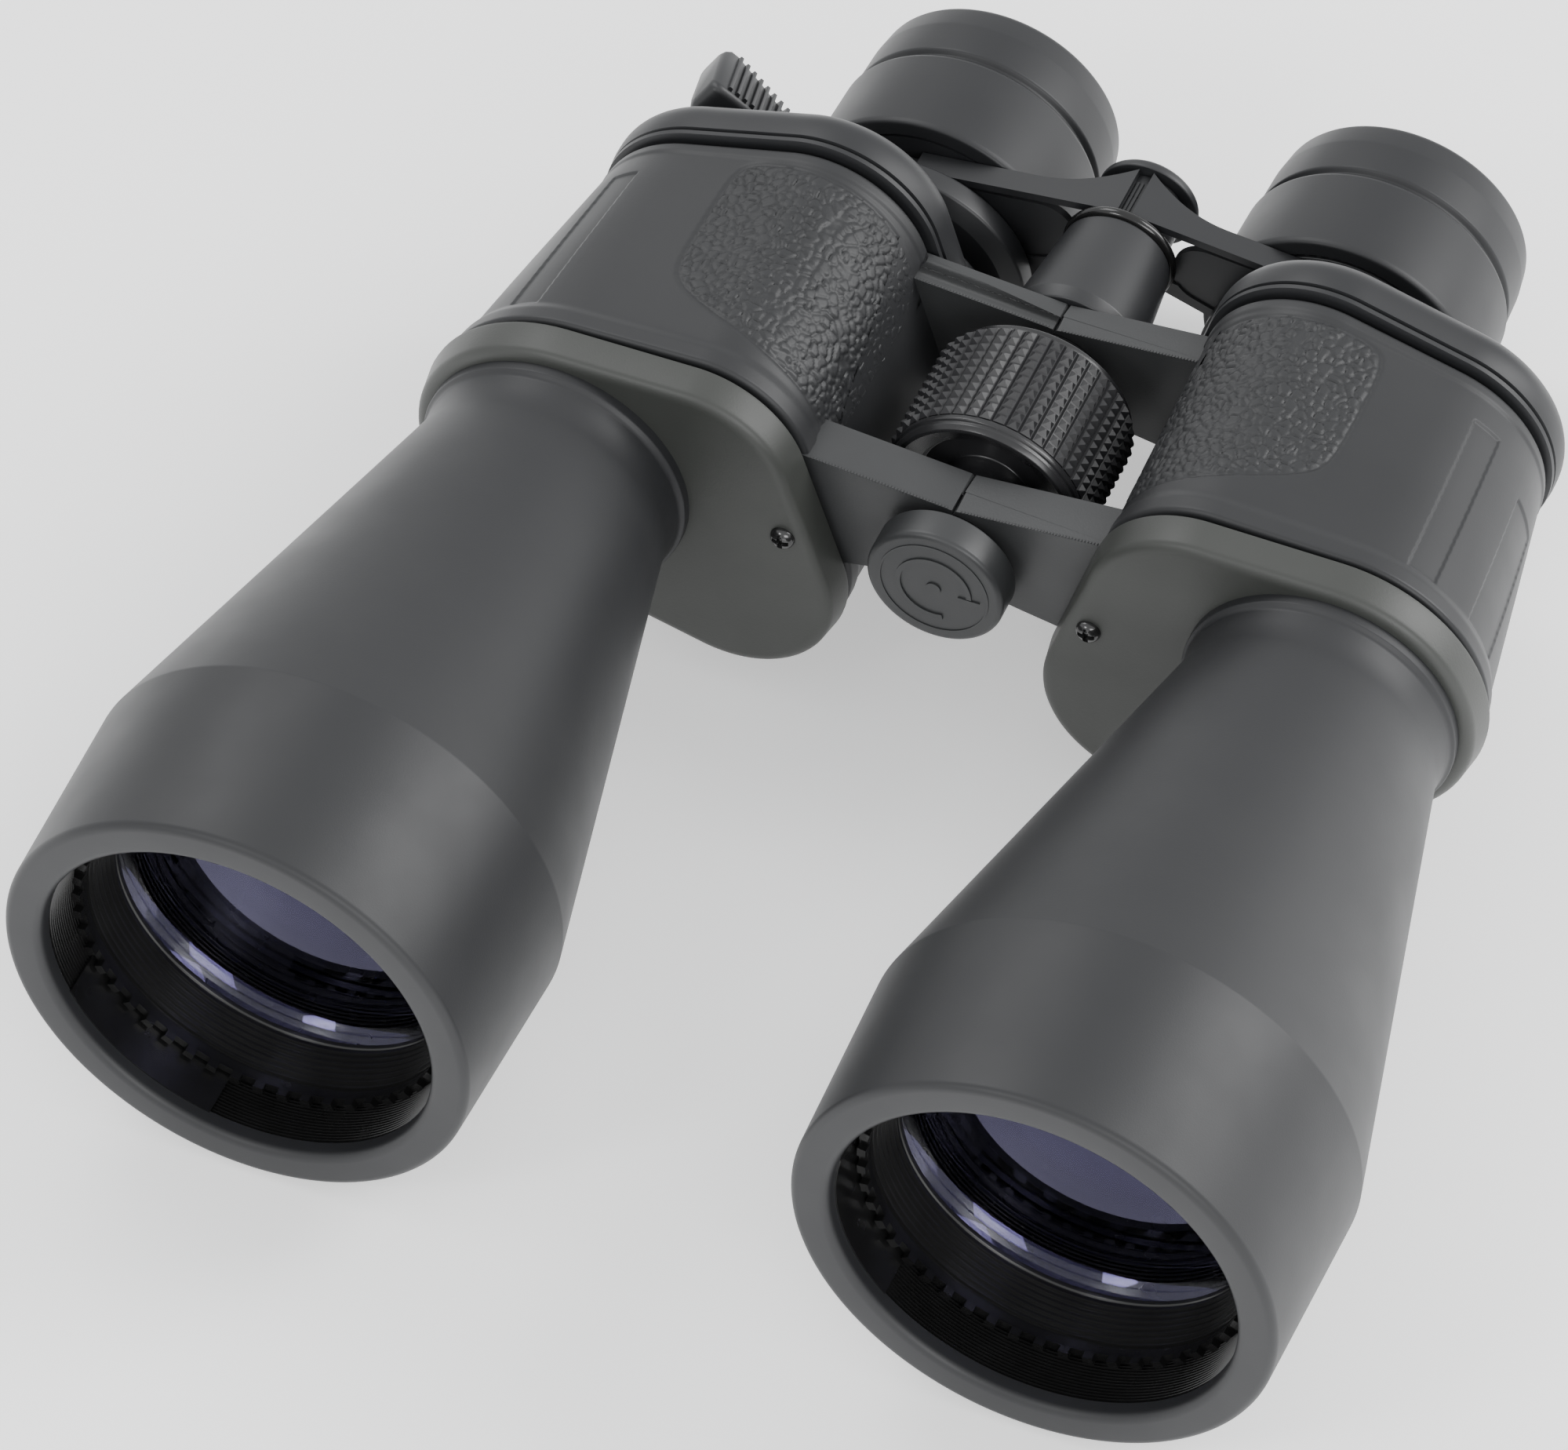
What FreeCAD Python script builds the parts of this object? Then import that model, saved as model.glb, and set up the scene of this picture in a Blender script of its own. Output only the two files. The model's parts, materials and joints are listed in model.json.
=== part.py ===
"""Large zoom porro-prism binoculars, one STEP file for each separate piece.

Millimetres. +Z is up and +Y points from the objective lenses to the eyepieces. Shapes are drawn
about the centre hinge axis, with y counted from the front rim, and are moved at the end so that
the origin is the bottom centre of the whole object. "left" is the side at -X. Each right-hand
piece is the mirror image of its left-hand piece, apart from the hinge laps.
"""
import FreeCAD, Part
import math
import os

# Driving dimensions -------------------------------------------------------------------------
LENS_R = 30.0               # clear radius of an objective lens
LENGTH = 243.6              # front rim to the back of the eyecups
OBJECTIVE = (66.4, 0.7)     # objective axis, as (x, z) from the hinge axis
PRISM_SHIFT = 23.5          # how far each prism moves the light sideways
SHIFT_ANGLE = 162.3         # direction of the rear prism's shift, degrees from +X
ARM_TILT = 5.25             # each half is opened this far past flat, degrees
RUN = 0.05                  # radial clearance of a running fit
CREASE_R = 40.56            # widest radius of the hood
REST_HEIGHT = CREASE_R - OBJECTIVE[1]   # hinge axis above the surface it lies on

# Stations along the optical axis, y from the front rim
CREASE_Y = 34.4
COVER_Y = 124.0             # front face of the front cover
BODY_Y = 130.6              # front cover meets the prism housing
WRAP_Y = (131.8, 181.6)     # rubber grip wrap
SHELF_Y = (158.0, 161.0)    # wall that carries both prisms
REAR_Y = 182.8              # prism housing meets the rear cover
BACK_Y = 193.0              # back face of the rear cover
FRONT_ARM_Y = (131.8, 140.6)
REAR_ARM_Y = (175.5, 181.8)
WHEEL_Y = (143.6, 168.8)
BRIDGE_Y = (206.5, 217.0)
RING_Y = (200.0, 205.6)     # zoom ring
EYECUP_Y = 211.2            # front edge of the eyecups
SOCKET_Y = (125.4, 131.6)   # tripod socket
FRONT_CARRIER_Y = 186.0     # front zoom lens carrier
REAR_CARRIER_Y = 198.0      # rear zoom lens carrier

# Radii and thicknesses
HOOD_MOUTH_R = 33.15
NECK_R = 22.3               # outside of the barrel's narrow end
COLLAR_R = 23.3             # collar where the barrel meets the front cover
SKIN = 1.4                  # rubber on the barrel
WALL = 1.8                  # casting wall
WRAP_T = 1.6                # rubber on the prism housing
SEAT_R = 32.4               # bore that the objective lens sits in
LENS_BLANK_R = 31.8         # objective lens with its hidden edge
AXLE_R = 4.0
SOCKET_R = 2.56             # minor radius of a 1/4-20 UNC thread
KNUCKLE_R = 8.6
KNUCKLE_GAP = 0.35
SPIGOT_R = 5.5              # front spigot of the focus tube, in the rear arms
SHAFT_R = 3.0
TUBE_R = 12.0               # sliding eyepiece tube
TUBE_BORE = 10.5
GUIDE_R = 13.5              # eyepiece guide where it passes the rear cover
BRIDGE_RING_R = 17.0
ZOOM_RING_R = 21.4
ZOOM_LENS_R = 9.2
WHEEL_R = 17.7
WHEEL_CORE_R = 15.2
CAP_R = 11.9
ARM_TOP = 9.9               # flat top of the hinge arms above the hinge axis
LIGHT_HOLE_R = 9.0          # holes in the prism shelf
PRISM_HALF_WIDTH = 9.5
SCREW_R = 1.2
SCREW_BOSS_R = 2.7
SCREW_SPOTS = ((26.6, 0.5), (53.5, -21.5))
LEVER_ANGLE = 36.0          # the zoom lever stands this far above the horizontal, outwards
PAD_ROLL = -22.0            # turn of the lever's ribbed pad about its own length

V = FreeCAD.Vector


# Helpers ------------------------------------------------------------------------------------
def step(point, length, degrees):
    """The (x, z) point that lies length away from point, in the given direction."""
    angle = math.radians(degrees)
    return (point[0] + length * math.cos(angle), point[1] + length * math.sin(angle))


MIDDLE = step(OBJECTIVE, PRISM_SHIFT, SHIFT_ANGLE)      # light axis between the two prisms
EYEPIECE = step(MIDDLE, PRISM_SHIFT, SHIFT_ANGLE + 90)  # eyepiece axis
HINGE = (0.0, 0.0)


def turned(profile, axis=HINGE):
    """Solid of revolution about a Y-parallel axis, from a closed outline of (radius, y).

    An outline entry of four numbers is an arc: (middle radius, middle y, end radius, end y).
    """
    edges = []
    last = V(profile[0][0], profile[0][1], 0)
    for entry in list(profile[1:]) + [profile[0]]:
        end = V(entry[-2], entry[-1], 0)
        if len(entry) == 4:
            edges.append(Part.Arc(last, V(entry[0], entry[1], 0), end).toShape())
        elif end.distanceToPoint(last) > 1e-7:
            edges.append(Part.LineSegment(last, end).toShape())
        last = end
    solid = Part.Face(Part.Wire(edges)).revolve(V(0, 0, 0), V(0, 1, 0), 360)
    solid.translate(V(axis[0], 0, axis[1]))
    return solid


def ring(outer, inner, y0, y1, axis=HINGE, bevel=0.0):
    """Tube with its two outer edges bevelled."""
    return turned([(inner, y0), (outer - bevel, y0), (outer, y0 + bevel),
                   (outer, y1 - bevel), (outer - bevel, y1), (inner, y1)], axis)


def rod(radius, y0, y1, axis=HINGE):
    """Plain cylinder along Y."""
    return Part.makeCylinder(radius, y1 - y0, V(axis[0], y0, axis[1]), V(0, 1, 0))


def tangent_outline(circles, y):
    """Wire around circles (x, z, radius), given counter-clockwise: arcs joined by tangents."""
    count = len(circles)
    normals = []
    for i in range(count):
        x0, z0, r0 = circles[i]
        x1, z1, r1 = circles[(i + 1) % count]
        span = math.hypot(x1 - x0, z1 - z0)
        along = math.atan2(z1 - z0, x1 - x0)
        normals.append(along - math.pi / 2 + math.asin((r0 - r1) / span))
    edges = []
    for i in range(count):
        x0, z0, r0 = circles[i]
        start = normals[i - 1]
        end = normals[i]
        while end < start:
            end += 2 * math.pi
        arc = [V(x0 + r0 * math.cos(a), y, z0 + r0 * math.sin(a))
               for a in (start, (start + end) / 2, end)]
        edges.append(Part.Arc(*arc).toShape())
        x1, z1, r1 = circles[(i + 1) % count]
        join = V(x1 + r1 * math.cos(end), y, z1 + r1 * math.sin(end))
        edges.append(Part.LineSegment(arc[2], join).toShape())
    return Part.Wire(edges)


def around(axes, radii, y):
    """Outline around several light axes, each with its own radius."""
    return tangent_outline([(a[0], a[1], r) for a, r in zip(axes, radii)], y)


def blend(*wires):
    """Solid with straight sides through the given wires."""
    return Part.makeLoft(list(wires), True, True)


def plate(points, y0, y1):
    """Flat piece of thickness y0 to y1 with the outline points (x, z)."""
    wire = Part.makePolygon([V(x, y0, z) for x, z in points + points[:1]])
    return Part.Face(wire).extrude(V(0, y1 - y0, 0))


def tilted(shape):
    """Turn a piece of the right half from flat to its opened place."""
    shape.rotate(V(0, 0, 0), V(0, 1, 0), -ARM_TILT)
    return shape


# Prism housing outline: three light axes, tapering towards the back ----------------------------
AXES = (OBJECTIVE, MIDDLE, EYEPIECE)
REAR_AXES = ((62.5, 1.5), MIDDLE, EYEPIECE)
FRONT_RADII = (25.4, 18.8, 18.6)
REAR_RADII = (21.0, 20.0, 19.4)


def housing_section(y, inset):
    """Outline of the wrapped housing at y, moved in by inset."""
    part_way = (y - BODY_Y) / (REAR_Y - BODY_Y)
    axes = []
    radii = []
    for i in range(3):
        front, back = AXES[i], REAR_AXES[i]
        axes.append(tuple(front[k] + (back[k] - front[k]) * part_way for k in (0, 1)))
        radii.append(FRONT_RADII[i] + (REAR_RADII[i] - FRONT_RADII[i]) * part_way - inset)
    return around(axes, radii, y)


def housing_block(y0, y1, inset):
    """Solid between two stations of the housing."""
    return blend(housing_section(y0, inset), housing_section(y1, inset))


# Objective end --------------------------------------------------------------------------------


def barrel_armour():
    """Rubber skin of the hood and the long cone, with its rolled front lip."""
    neck_y = 117.0
    slope = (NECK_R - CREASE_R) / (neck_y - CREASE_Y)
    outline = [(HOOD_MOUTH_R, 3.0), (HOOD_MOUTH_R, 1.4), (33.6, 0.35, 34.8, 0.0), (37.2, 0.0),
               (38.8, 0.75, 39.45, 2.6), (CREASE_R - 0.05, CREASE_Y - 2.0),
               (CREASE_R, CREASE_Y, CREASE_R + 2.0 * slope, CREASE_Y + 2.0), (NECK_R, neck_y),
               (NECK_R + 0.1, 120.4, COLLAR_R - 0.3, 122.2), (COLLAR_R, COVER_Y),
               (NECK_R - SKIN, COVER_Y), (NECK_R - SKIN, neck_y), (CREASE_R - SKIN, CREASE_Y),
               (37.9, 3.0)]
    return turned(outline, OBJECTIVE)


def objective_barrel():
    """Barrel casting: thread, lens seat, baffle grooves and the spigot in the front cover."""
    outline = [(37.9, 3.0), (CREASE_R - SKIN, CREASE_Y), (NECK_R - SKIN, 117.0),
               (NECK_R - SKIN, BODY_Y), (NECK_R - SKIN - WALL, BODY_Y),
               (NECK_R - SKIN - WALL, 116.0)]
    grooves = 9
    first, last = (36.4, 42.0), (NECK_R - 0.6, 104.0)
    for i in range(grooves, -1, -1):
        r = first[0] + (last[0] - first[0]) * i / grooves
        y = first[1] + (last[1] - first[1]) * i / grooves
        outline += [(r - 1.6, y + 2.4), (r - 1.6, y + 1.2), (r, y + 1.2)]
    outline += [(LENS_R - 0.6, 36.0), (LENS_R - 0.6, 32.8), (SEAT_R, 32.8), (SEAT_R, 12.5)]
    pitch = 0.75
    for i in range(12):
        y = 12.5 - pitch * i
        outline += [(33.7, y - pitch / 2), (33.3, y - pitch)]
    outline += [(33.3, 3.0)]
    return turned(outline, OBJECTIVE)


def lens_cell():
    """Ribbed ring in front of the objective lens; its inner lip holds the lens edge."""
    outline = [(SEAT_R, 12.5), (SEAT_R, 21.4), (LENS_R, 21.4), (LENS_R, 20.6)]
    ribs = 8
    for i in range(ribs):
        y = 20.6 - i
        r = LENS_R + 0.3 + 0.22 * i
        outline += [(r, y), (r, y - 0.7), (r - 0.25, y - 1.0)]
    outline += [(outline[-1][0], 12.5)]
    return turned(outline, OBJECTIVE)


def cap_point(radius, sag, at):
    """Depth below the vertex, at the given distance from the axis, of a spherical lens face."""
    sphere = (radius ** 2 + sag ** 2) / (2 * sag)
    return sphere - math.copysign(math.sqrt(sphere ** 2 - at ** 2), sphere)


def lens(radius, y_edge, y_back, front_sag, back_sag, axis):
    """Lens disc. Each sag is how far that face's middle stands towards -Y from its edge."""
    half = radius / 2
    front = y_edge - front_sag
    back = y_back - back_sag
    return turned([(0, front), (half, front + cap_point(radius, front_sag, half), radius, y_edge),
                   (radius, y_back),
                   (half, back + cap_point(radius, back_sag, half), 0, back)], axis)


def retaining_ring():
    """Threaded ring with square notches that locks the lens cell."""
    body = ring(SEAT_R, 31.2, 10.7, 12.5, OBJECTIVE)
    castles = ring(SEAT_R - 0.1, 30.9, 9.4, 10.8, OBJECTIVE)
    notches = 48
    for i in range(notches):
        slot = Part.makeBox(4.0, 2.0, 2.4, V(OBJECTIVE[0] + 29.9, 8.7, OBJECTIVE[1] - 1.2))
        slot.rotate(V(OBJECTIVE[0], 0, OBJECTIVE[1]), V(0, 1, 0), 360.0 * i / notches)
        castles = castles.cut(slot)
    return body.fuse(castles).removeSplitter()


# Prism housing ----------------------------------------------------------------------------------


def arm_profile(y0, y1):
    """Side outline of a hinge arm, in the flat position, reaching into the housing."""
    gap = 0.3
    lean = ARM_TOP * math.tan(math.radians(ARM_TILT))
    return plate([(gap + lean, ARM_TOP), (32.0, ARM_TOP), (32.0, -15.0), (23.0, -15.0),
                  (18.0, -12.2), (12.0, -10.0), (6.4, -7.6), (gap, 0.0)], y0, y1)


def hinge_arm(y_range, lap, bore):
    """One arm of the right half: lap is the half of y_range that holds its knuckle."""
    y0, y1 = y_range
    own = arm_profile(*lap).fuse(rod(KNUCKLE_R, *lap))
    rest = (lap[1], y1) if lap[0] == y0 else (y0, lap[0])
    other = arm_profile(*rest).cut(rod(KNUCKLE_R + KNUCKLE_GAP, rest[0] - 1, rest[1] + 1))
    arm = own.fuse(other).cut(rod(bore, y0 - 1, y1 + 1))
    return tilted(arm)


def laps(y_range, first):
    """Front or back half of an arm, short of the middle by half the side clearance."""
    y0, y1 = y_range
    middle = (y0 + y1) / 2
    return (y0, middle - 0.05) if first else (middle + 0.05, y1)


def hinge_arms(side):
    """Both arms of one half. The left half has the front laps and grips the axles."""
    left = side == "left"
    play = 0.0 if left else RUN
    front = hinge_arm(FRONT_ARM_Y, laps(FRONT_ARM_Y, left), AXLE_R + play)
    rear = hinge_arm(REAR_ARM_Y, laps(REAR_ARM_Y, left), SPIGOT_R + play)
    return [front, rear]


def prism_housing(side):
    """Casting: shell, prism shelf with three light holes, screw boss and both hinge arms."""
    inset = WRAP_T + WALL
    shell = housing_block(BODY_Y, REAR_Y, WRAP_T)
    front_room = housing_block(BODY_Y, SHELF_Y[0], inset)
    rear_room = housing_block(SHELF_Y[1], REAR_Y, inset)
    boss = rod(SCREW_BOSS_R, BODY_Y, 142.0, SCREW_SPOTS[0])
    block = housing_block(BODY_Y, REAR_Y, inset)
    for arm in hinge_arms(side):
        shell = shell.fuse(arm.cut(block))
    shell = shell.cut(front_room.cut(boss)).cut(rear_room)
    for axis in AXES:
        shell = shell.cut(rod(LIGHT_HOLE_R, SHELF_Y[0] - 1, SHELF_Y[1] + 1, axis))
    return shell.cut(rod(SCREW_R, BODY_Y - 1, 140.0, SCREW_SPOTS[0])).removeSplitter()


def grip_wrap(side):
    """Rubber grip around the housing, with a window for each hinge arm."""
    wrap = housing_block(*WRAP_Y, 0.0).cut(housing_block(BODY_Y, REAR_Y, WRAP_T))
    for y0, y1 in (FRONT_ARM_Y, REAR_ARM_Y):
        window = tilted(plate([(10, ARM_TOP + 0.1), (32, ARM_TOP + 0.1), (32, -15.1),
                               (10, -15.1)], y0 - 0.1, y1 + 0.1))
        wrap = wrap.cut(window)
    return wrap


def front_cover():
    """Front plate of the prism housing with the barrel's bore and the screw holes."""
    front = around(AXES, (24.6, 17.9, 17.7), COVER_Y)
    edge = around(AXES, (25.9, 19.0, 18.8), COVER_Y + 1.3)
    back = around(AXES, (26.3, 19.4, 19.2), BODY_Y)
    cover = blend(front, edge).fuse(blend(edge, back))
    room = blend(around(AXES, (23.6, 16.6, 16.4), COVER_Y + 2.2),
                 around(AXES, (23.6, 16.6, 16.4), BODY_Y))
    lands = rod(24.0, COVER_Y, BODY_Y, OBJECTIVE)
    lands = lands.fuse(rod(SCREW_BOSS_R, COVER_Y, BODY_Y, SCREW_SPOTS[0]))
    cover = cover.cut(room.cut(lands)).cut(rod(NECK_R - SKIN, 120, 140, OBJECTIVE))
    for spot in SCREW_SPOTS:
        cover = cover.cut(rod(SCREW_R, 120, 140, spot))
    return cover.removeSplitter()


def rear_cover():
    """Domed back cover with the hole for the eyepiece guide."""
    def outline(y, inset):
        radii = [r + 0.9 - inset for r in REAR_RADII]
        return around(REAR_AXES, radii, y)
    rounding = 5.0
    cover = blend(outline(REAR_Y, 0.6), outline(REAR_Y + 2.5, 0.0))
    cover = cover.fuse(blend(outline(REAR_Y + 2.5, 0.0), outline(BACK_Y - rounding, 0.0)))
    last = outline(BACK_Y - rounding, 0.0)
    turns = 6
    for i in range(1, turns + 1):
        angle = math.radians(90.0 * i / turns)
        y = BACK_Y - rounding * (1 - math.sin(angle))
        inset = rounding * (1 - math.cos(angle))
        following = outline(y, inset)
        cover = cover.fuse(blend(last, following))
        last = following
    room = blend(outline(REAR_Y, WRAP_T + WALL + 0.9), outline(BACK_Y - 5.2, WRAP_T + WALL + 0.9))
    room = room.fuse(blend(outline(BACK_Y - 5.2, WRAP_T + WALL + 0.9), outline(BACK_Y - 2.0, 6.2)))
    return cover.cut(room).cut(rod(GUIDE_R, 170, 200, EYEPIECE)).removeSplitter()


def porro_prism(first, second, y_face, direction):
    """Right-angle prism whose wide face lies at y_face and covers two light axes."""
    along = V(second[0] - first[0], 0, second[1] - first[1]).normalize()
    centre = V((first[0] + second[0]) / 2, y_face, (first[1] + second[1]) / 2)
    across = V(0, 1, 0).cross(along) * PRISM_HALF_WIDTH
    points = [centre - along * PRISM_SHIFT, centre + along * PRISM_SHIFT,
              centre + V(0, direction * PRISM_SHIFT, 0)]
    base = Part.makePolygon([p - across for p in points + points[:1]])
    prism = Part.Face(base).extrude(across * 2)
    low, high = sorted((y_face, y_face + direction * PRISM_SHIFT))
    ends = [(a[0], a[1], 14.0) for a in (first, second)]
    rounded = blend(tangent_outline(ends, low), tangent_outline(ends, high))
    return prism.common(rounded)


def prism_clip(first, second, y_face, direction):
    """Spring strap over the roof of a prism, ending on the shelf."""
    along = V(second[0] - first[0], 0, second[1] - first[1]).normalize()
    centre = V((first[0] + second[0]) / 2, y_face, (first[1] + second[1]) / 2)
    half_width = 3.0
    thickness = 0.5
    across = V(0, 1, 0).cross(along) * half_width
    reach = thickness * math.sqrt(2)
    inner = PRISM_SHIFT
    outer = PRISM_SHIFT + reach
    points = [centre + along * s * d for s, d in ((-1, outer), (-1, inner))]
    points += [centre + V(0, direction * inner, 0), centre + along * inner, centre + along * outer,
               centre + V(0, direction * outer, 0)]
    base = Part.makePolygon([p - across for p in points + points[:1]])
    return Part.Face(base).extrude(across * 2)


def prism_clips():
    """The two prism straps."""
    return Part.makeCompound([prism_clip(MIDDLE, EYEPIECE, SHELF_Y[0], -1),
                              prism_clip(OBJECTIVE, MIDDLE, SHELF_Y[1], 1)])


def cover_screw(spot):
    """Pan-head cross-recess screw in the front cover."""
    head = turned([(0, COVER_Y - 1.5), (1.1, COVER_Y - 1.4, 2.1, COVER_Y - 0.6), (2.1, COVER_Y),
                   (SCREW_R, COVER_Y), (SCREW_R, BODY_Y + 5), (0, BODY_Y + 5)], spot)
    for size in ((2.6, 0.55), (0.55, 2.6)):
        head = head.cut(Part.makeBox(size[0], 1.0, size[1], V(
            spot[0] - size[0] / 2, COVER_Y - 2.0, spot[1] - size[1] / 2)))
    return head


def cover_screws():
    """Both screws of one front cover; the outer one ends inside the cover."""
    outer = cover_screw(SCREW_SPOTS[1]).common(rod(5, 100, BODY_Y - 0.3, SCREW_SPOTS[1]))
    return Part.makeCompound([cover_screw(SCREW_SPOTS[0]), outer])


# Eyepieces --------------------------------------------------------------------------------------


def eyepiece_guide():
    """Flanged guide tube in which the eyepiece tube slides."""
    return turned([(TUBE_R + RUN, 178.0), (GUIDE_R, 178.0), (GUIDE_R, BACK_Y), (17.6, BACK_Y),
                   (18.4, BACK_Y + 0.8), (18.4, BACK_Y + 2.4), (16.6, BACK_Y + 4.2),
                   (TUBE_R + RUN, BACK_Y + 4.2)], EYEPIECE)


def eyepiece_tube():
    """Sliding tube that carries the zoom lenses."""
    return ring(TUBE_R, TUBE_BORE, 179.0, EYECUP_Y + 3.0, EYEPIECE)


def zoom_ring():
    """Zoom ring that turns on the eyepiece tube."""
    return turned([(TUBE_R + RUN, RING_Y[0]), (18.6, RING_Y[0]), (ZOOM_RING_R, RING_Y[0] + 1.6),
                   (ZOOM_RING_R, RING_Y[1] - 0.6), (ZOOM_RING_R - 0.6, RING_Y[1]),
                   (TUBE_R + RUN, RING_Y[1])], EYEPIECE)


def zoom_carrier(y0):
    """Sleeve that holds one moving lens inside the eyepiece tube."""
    lip = ZOOM_LENS_R - 1.0
    return turned([(ZOOM_LENS_R, y0), (TUBE_BORE - RUN, y0), (TUBE_BORE - RUN, y0 + 6),
                   (lip, y0 + 6), (lip, y0 + 4.2), (ZOOM_LENS_R, y0 + 4.2)], EYEPIECE)


def zoom_lens(y0, bulge):
    """Moving lens; it sits against the carrier's inner lip."""
    return lens(ZOOM_LENS_R, y0 + 1.6, y0 + 3.9, bulge, -bulge, EYEPIECE)


def ocular_barrel(side):
    """Eyepiece head; the right one leaves room for the dioptre ring."""
    right = side == "right"
    y0 = EYECUP_Y
    bore = TUBE_R + (RUN if right else 0.0)
    collar = 17.0 if right else 20.8
    return turned([(bore, y0), (collar, y0), (collar, y0 + 4.9), (20.0, y0 + 4.9),
                   (20.0, y0 + 25.3), (14.6, y0 + 25.3), (14.6, y0 + 20.0), (13.2, y0 + 18.6),
                   (13.2, y0 + 6.0), (bore, y0 + 6.0)], EYEPIECE)


def eye_lens():
    """Last lens, which the eye looks into."""
    y0 = EYECUP_Y + 20.1
    return lens(14.5, y0, y0 + 2.6, 1.5, -1.7, EYEPIECE)


def eyecup():
    """Rubber eyecup: wide front band, groove, and a back band that narrows to the rim."""
    y0 = EYECUP_Y
    back = LENGTH
    outline = [(21.3, y0), (23.7, y0), (24.15, y0 + 0.15, 24.3, y0 + 0.6), (24.2, y0 + 6.0),
               (23.7, y0 + 17.9), (23.3, y0 + 18.5), (22.5, y0 + 18.7), (22.5, y0 + 19.7),
               (23.1, y0 + 20.0), (23.45, y0 + 20.8), (22.9, y0 + 27.0), (22.1, back - 1.6),
               (21.9, back - 0.4, 21.1, back), (18.4, back), (17.6, back - 0.3, 17.3, back - 1.2),
               (16.6, y0 + 25.4), (20.0, y0 + 25.4), (20.0, y0 + 5.0), (21.3, y0 + 5.0)]
    return turned(outline, EYEPIECE)


def diopter_ring():
    """Ring on the right eyepiece that screws its head in and out."""
    return ring(20.9, 17.0 + RUN, EYECUP_Y + 0.1, EYECUP_Y + 4.8, EYEPIECE, 0.4)


def bridge_arm(side):
    """Channel-section arm from the focus shaft to its eyepiece."""
    first = side == "left"
    y0, y1 = BRIDGE_Y
    lap = laps(BRIDGE_Y, first)
    rest = (lap[1], y1) if first else (y0, lap[0])
    thin = EYECUP_Y - 0.3
    root = 14.4             # beyond this radius the arm is thin enough to pass the eyecup
    knuckle = 7.0
    play = RUN
    beam_circles = [(EYEPIECE[0], EYEPIECE[1] + 8.0, 10.5), (4.0, 1.2, 7.2)]
    beam = blend(tangent_outline(beam_circles, y0), tangent_outline(beam_circles, y1))
    beam = beam.cut(Part.makeBox(60, 60, 60, V(-59.2, 190, -30)))
    head = beam.common(rod(root, y0 - 1, y1 + 1))
    lap_part = head.common(rod(root + 1, *lap))
    rest_part = head.common(rod(root + 1, *rest)).cut(rod(knuckle + 0.3, y0 - 1, y1 + 1))
    limb = beam.common(Part.makeBox(80, thin - y0, 80, V(-10, y0, -40)))
    limb = limb.cut(rod(root - 0.5, y0 - 1, y1 + 1))
    pocket = [(EYEPIECE[0], EYEPIECE[1] + 8.0, 8.3), (14.6, -1.3, 6.0)]
    limb = limb.cut(blend(tangent_outline(pocket, y0 - 1), tangent_outline(pocket, thin - 1.4)))
    arm = lap_part.fuse(rest_part).fuse(rod(knuckle, *lap)).fuse(limb)
    arm = arm.fuse(rod(BRIDGE_RING_R, y0 - 0.5, thin, EYEPIECE))
    arm = arm.cut(rod(TUBE_R, 190, 240, EYEPIECE)).cut(rod(SHAFT_R + play, 190, 240))
    return arm.removeSplitter()


def pad_section(x, width, thickness):
    """Rectangle across the lever at x, with its ribbed face at the positive z side."""
    corners = [(-width / 2, -thickness / 2), (width / 2, -thickness / 2),
               (width / 2, thickness / 2), (-width / 2, thickness / 2)]
    points = [V(x, y, z) for y, z in corners + corners[:1]]
    return Part.makePolygon(points)


def zoom_lever():
    """Thumb lever of the zoom ring, a stem that widens to a ribbed pad; left side."""
    middle = (RING_Y[0] + RING_Y[1]) / 2
    stem = Part.makeBox(12.0, 4.0, 5.0, V(ZOOM_RING_R - 1.6, middle - 2.0, -2.5))
    inner, outer = 29.0, 46.5
    pad = blend(pad_section(inner, 6.4, 5.6), pad_section(outer, 14.4, 7.6))
    ribs = 9
    for i in range(ribs):
        part_way = (i + 1.2) / (ribs + 1.6)
        length = 5.6 + 7.2 * part_way
        x = inner + (outer - inner) * part_way
        face = 2.8 + part_way
        pad = pad.fuse(Part.makeBox(0.8, length, 1.0, V(x - 0.4, -length / 2, face - 0.4)))
    pad.rotate(V(0, 0, 0), V(1, 0, 0), PAD_ROLL)
    pad.translate(V(0, middle + 2.2, 0))
    lever = stem.fuse(pad).cut(rod(ZOOM_RING_R, 190, 220)).removeSplitter()
    lever.rotate(V(0, 0, 0), V(0, 1, 0), -LEVER_ANGLE)
    lever.translate(V(EYEPIECE[0], 0, EYEPIECE[1]))
    return lever


# Centre parts -----------------------------------------------------------------------------------


def front_axle():
    """Front hinge axle: a threaded boss for the cap and a tripod socket in its nose."""
    axle = turned([(0, SOCKET_Y[0]), (6.5, SOCKET_Y[0]), (6.5, 131.7), (AXLE_R, 131.7),
                   (AXLE_R, 150.0), (0, 150.0)])
    return axle.cut(rod(SOCKET_R, SOCKET_Y[0] - 1, SOCKET_Y[1]))


def tripod_cap():
    """Cap that screws over the nose of the front axle."""
    return turned([(0, 123.4), (CAP_R - 1.2, 123.4), (CAP_R - 0.4, 123.7, CAP_R, 124.5), (CAP_R, 129.0),
                   (CAP_R - 0.4, 129.4), (6.6, 129.4), (6.6, 125.2), (0, 125.2)])


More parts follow.
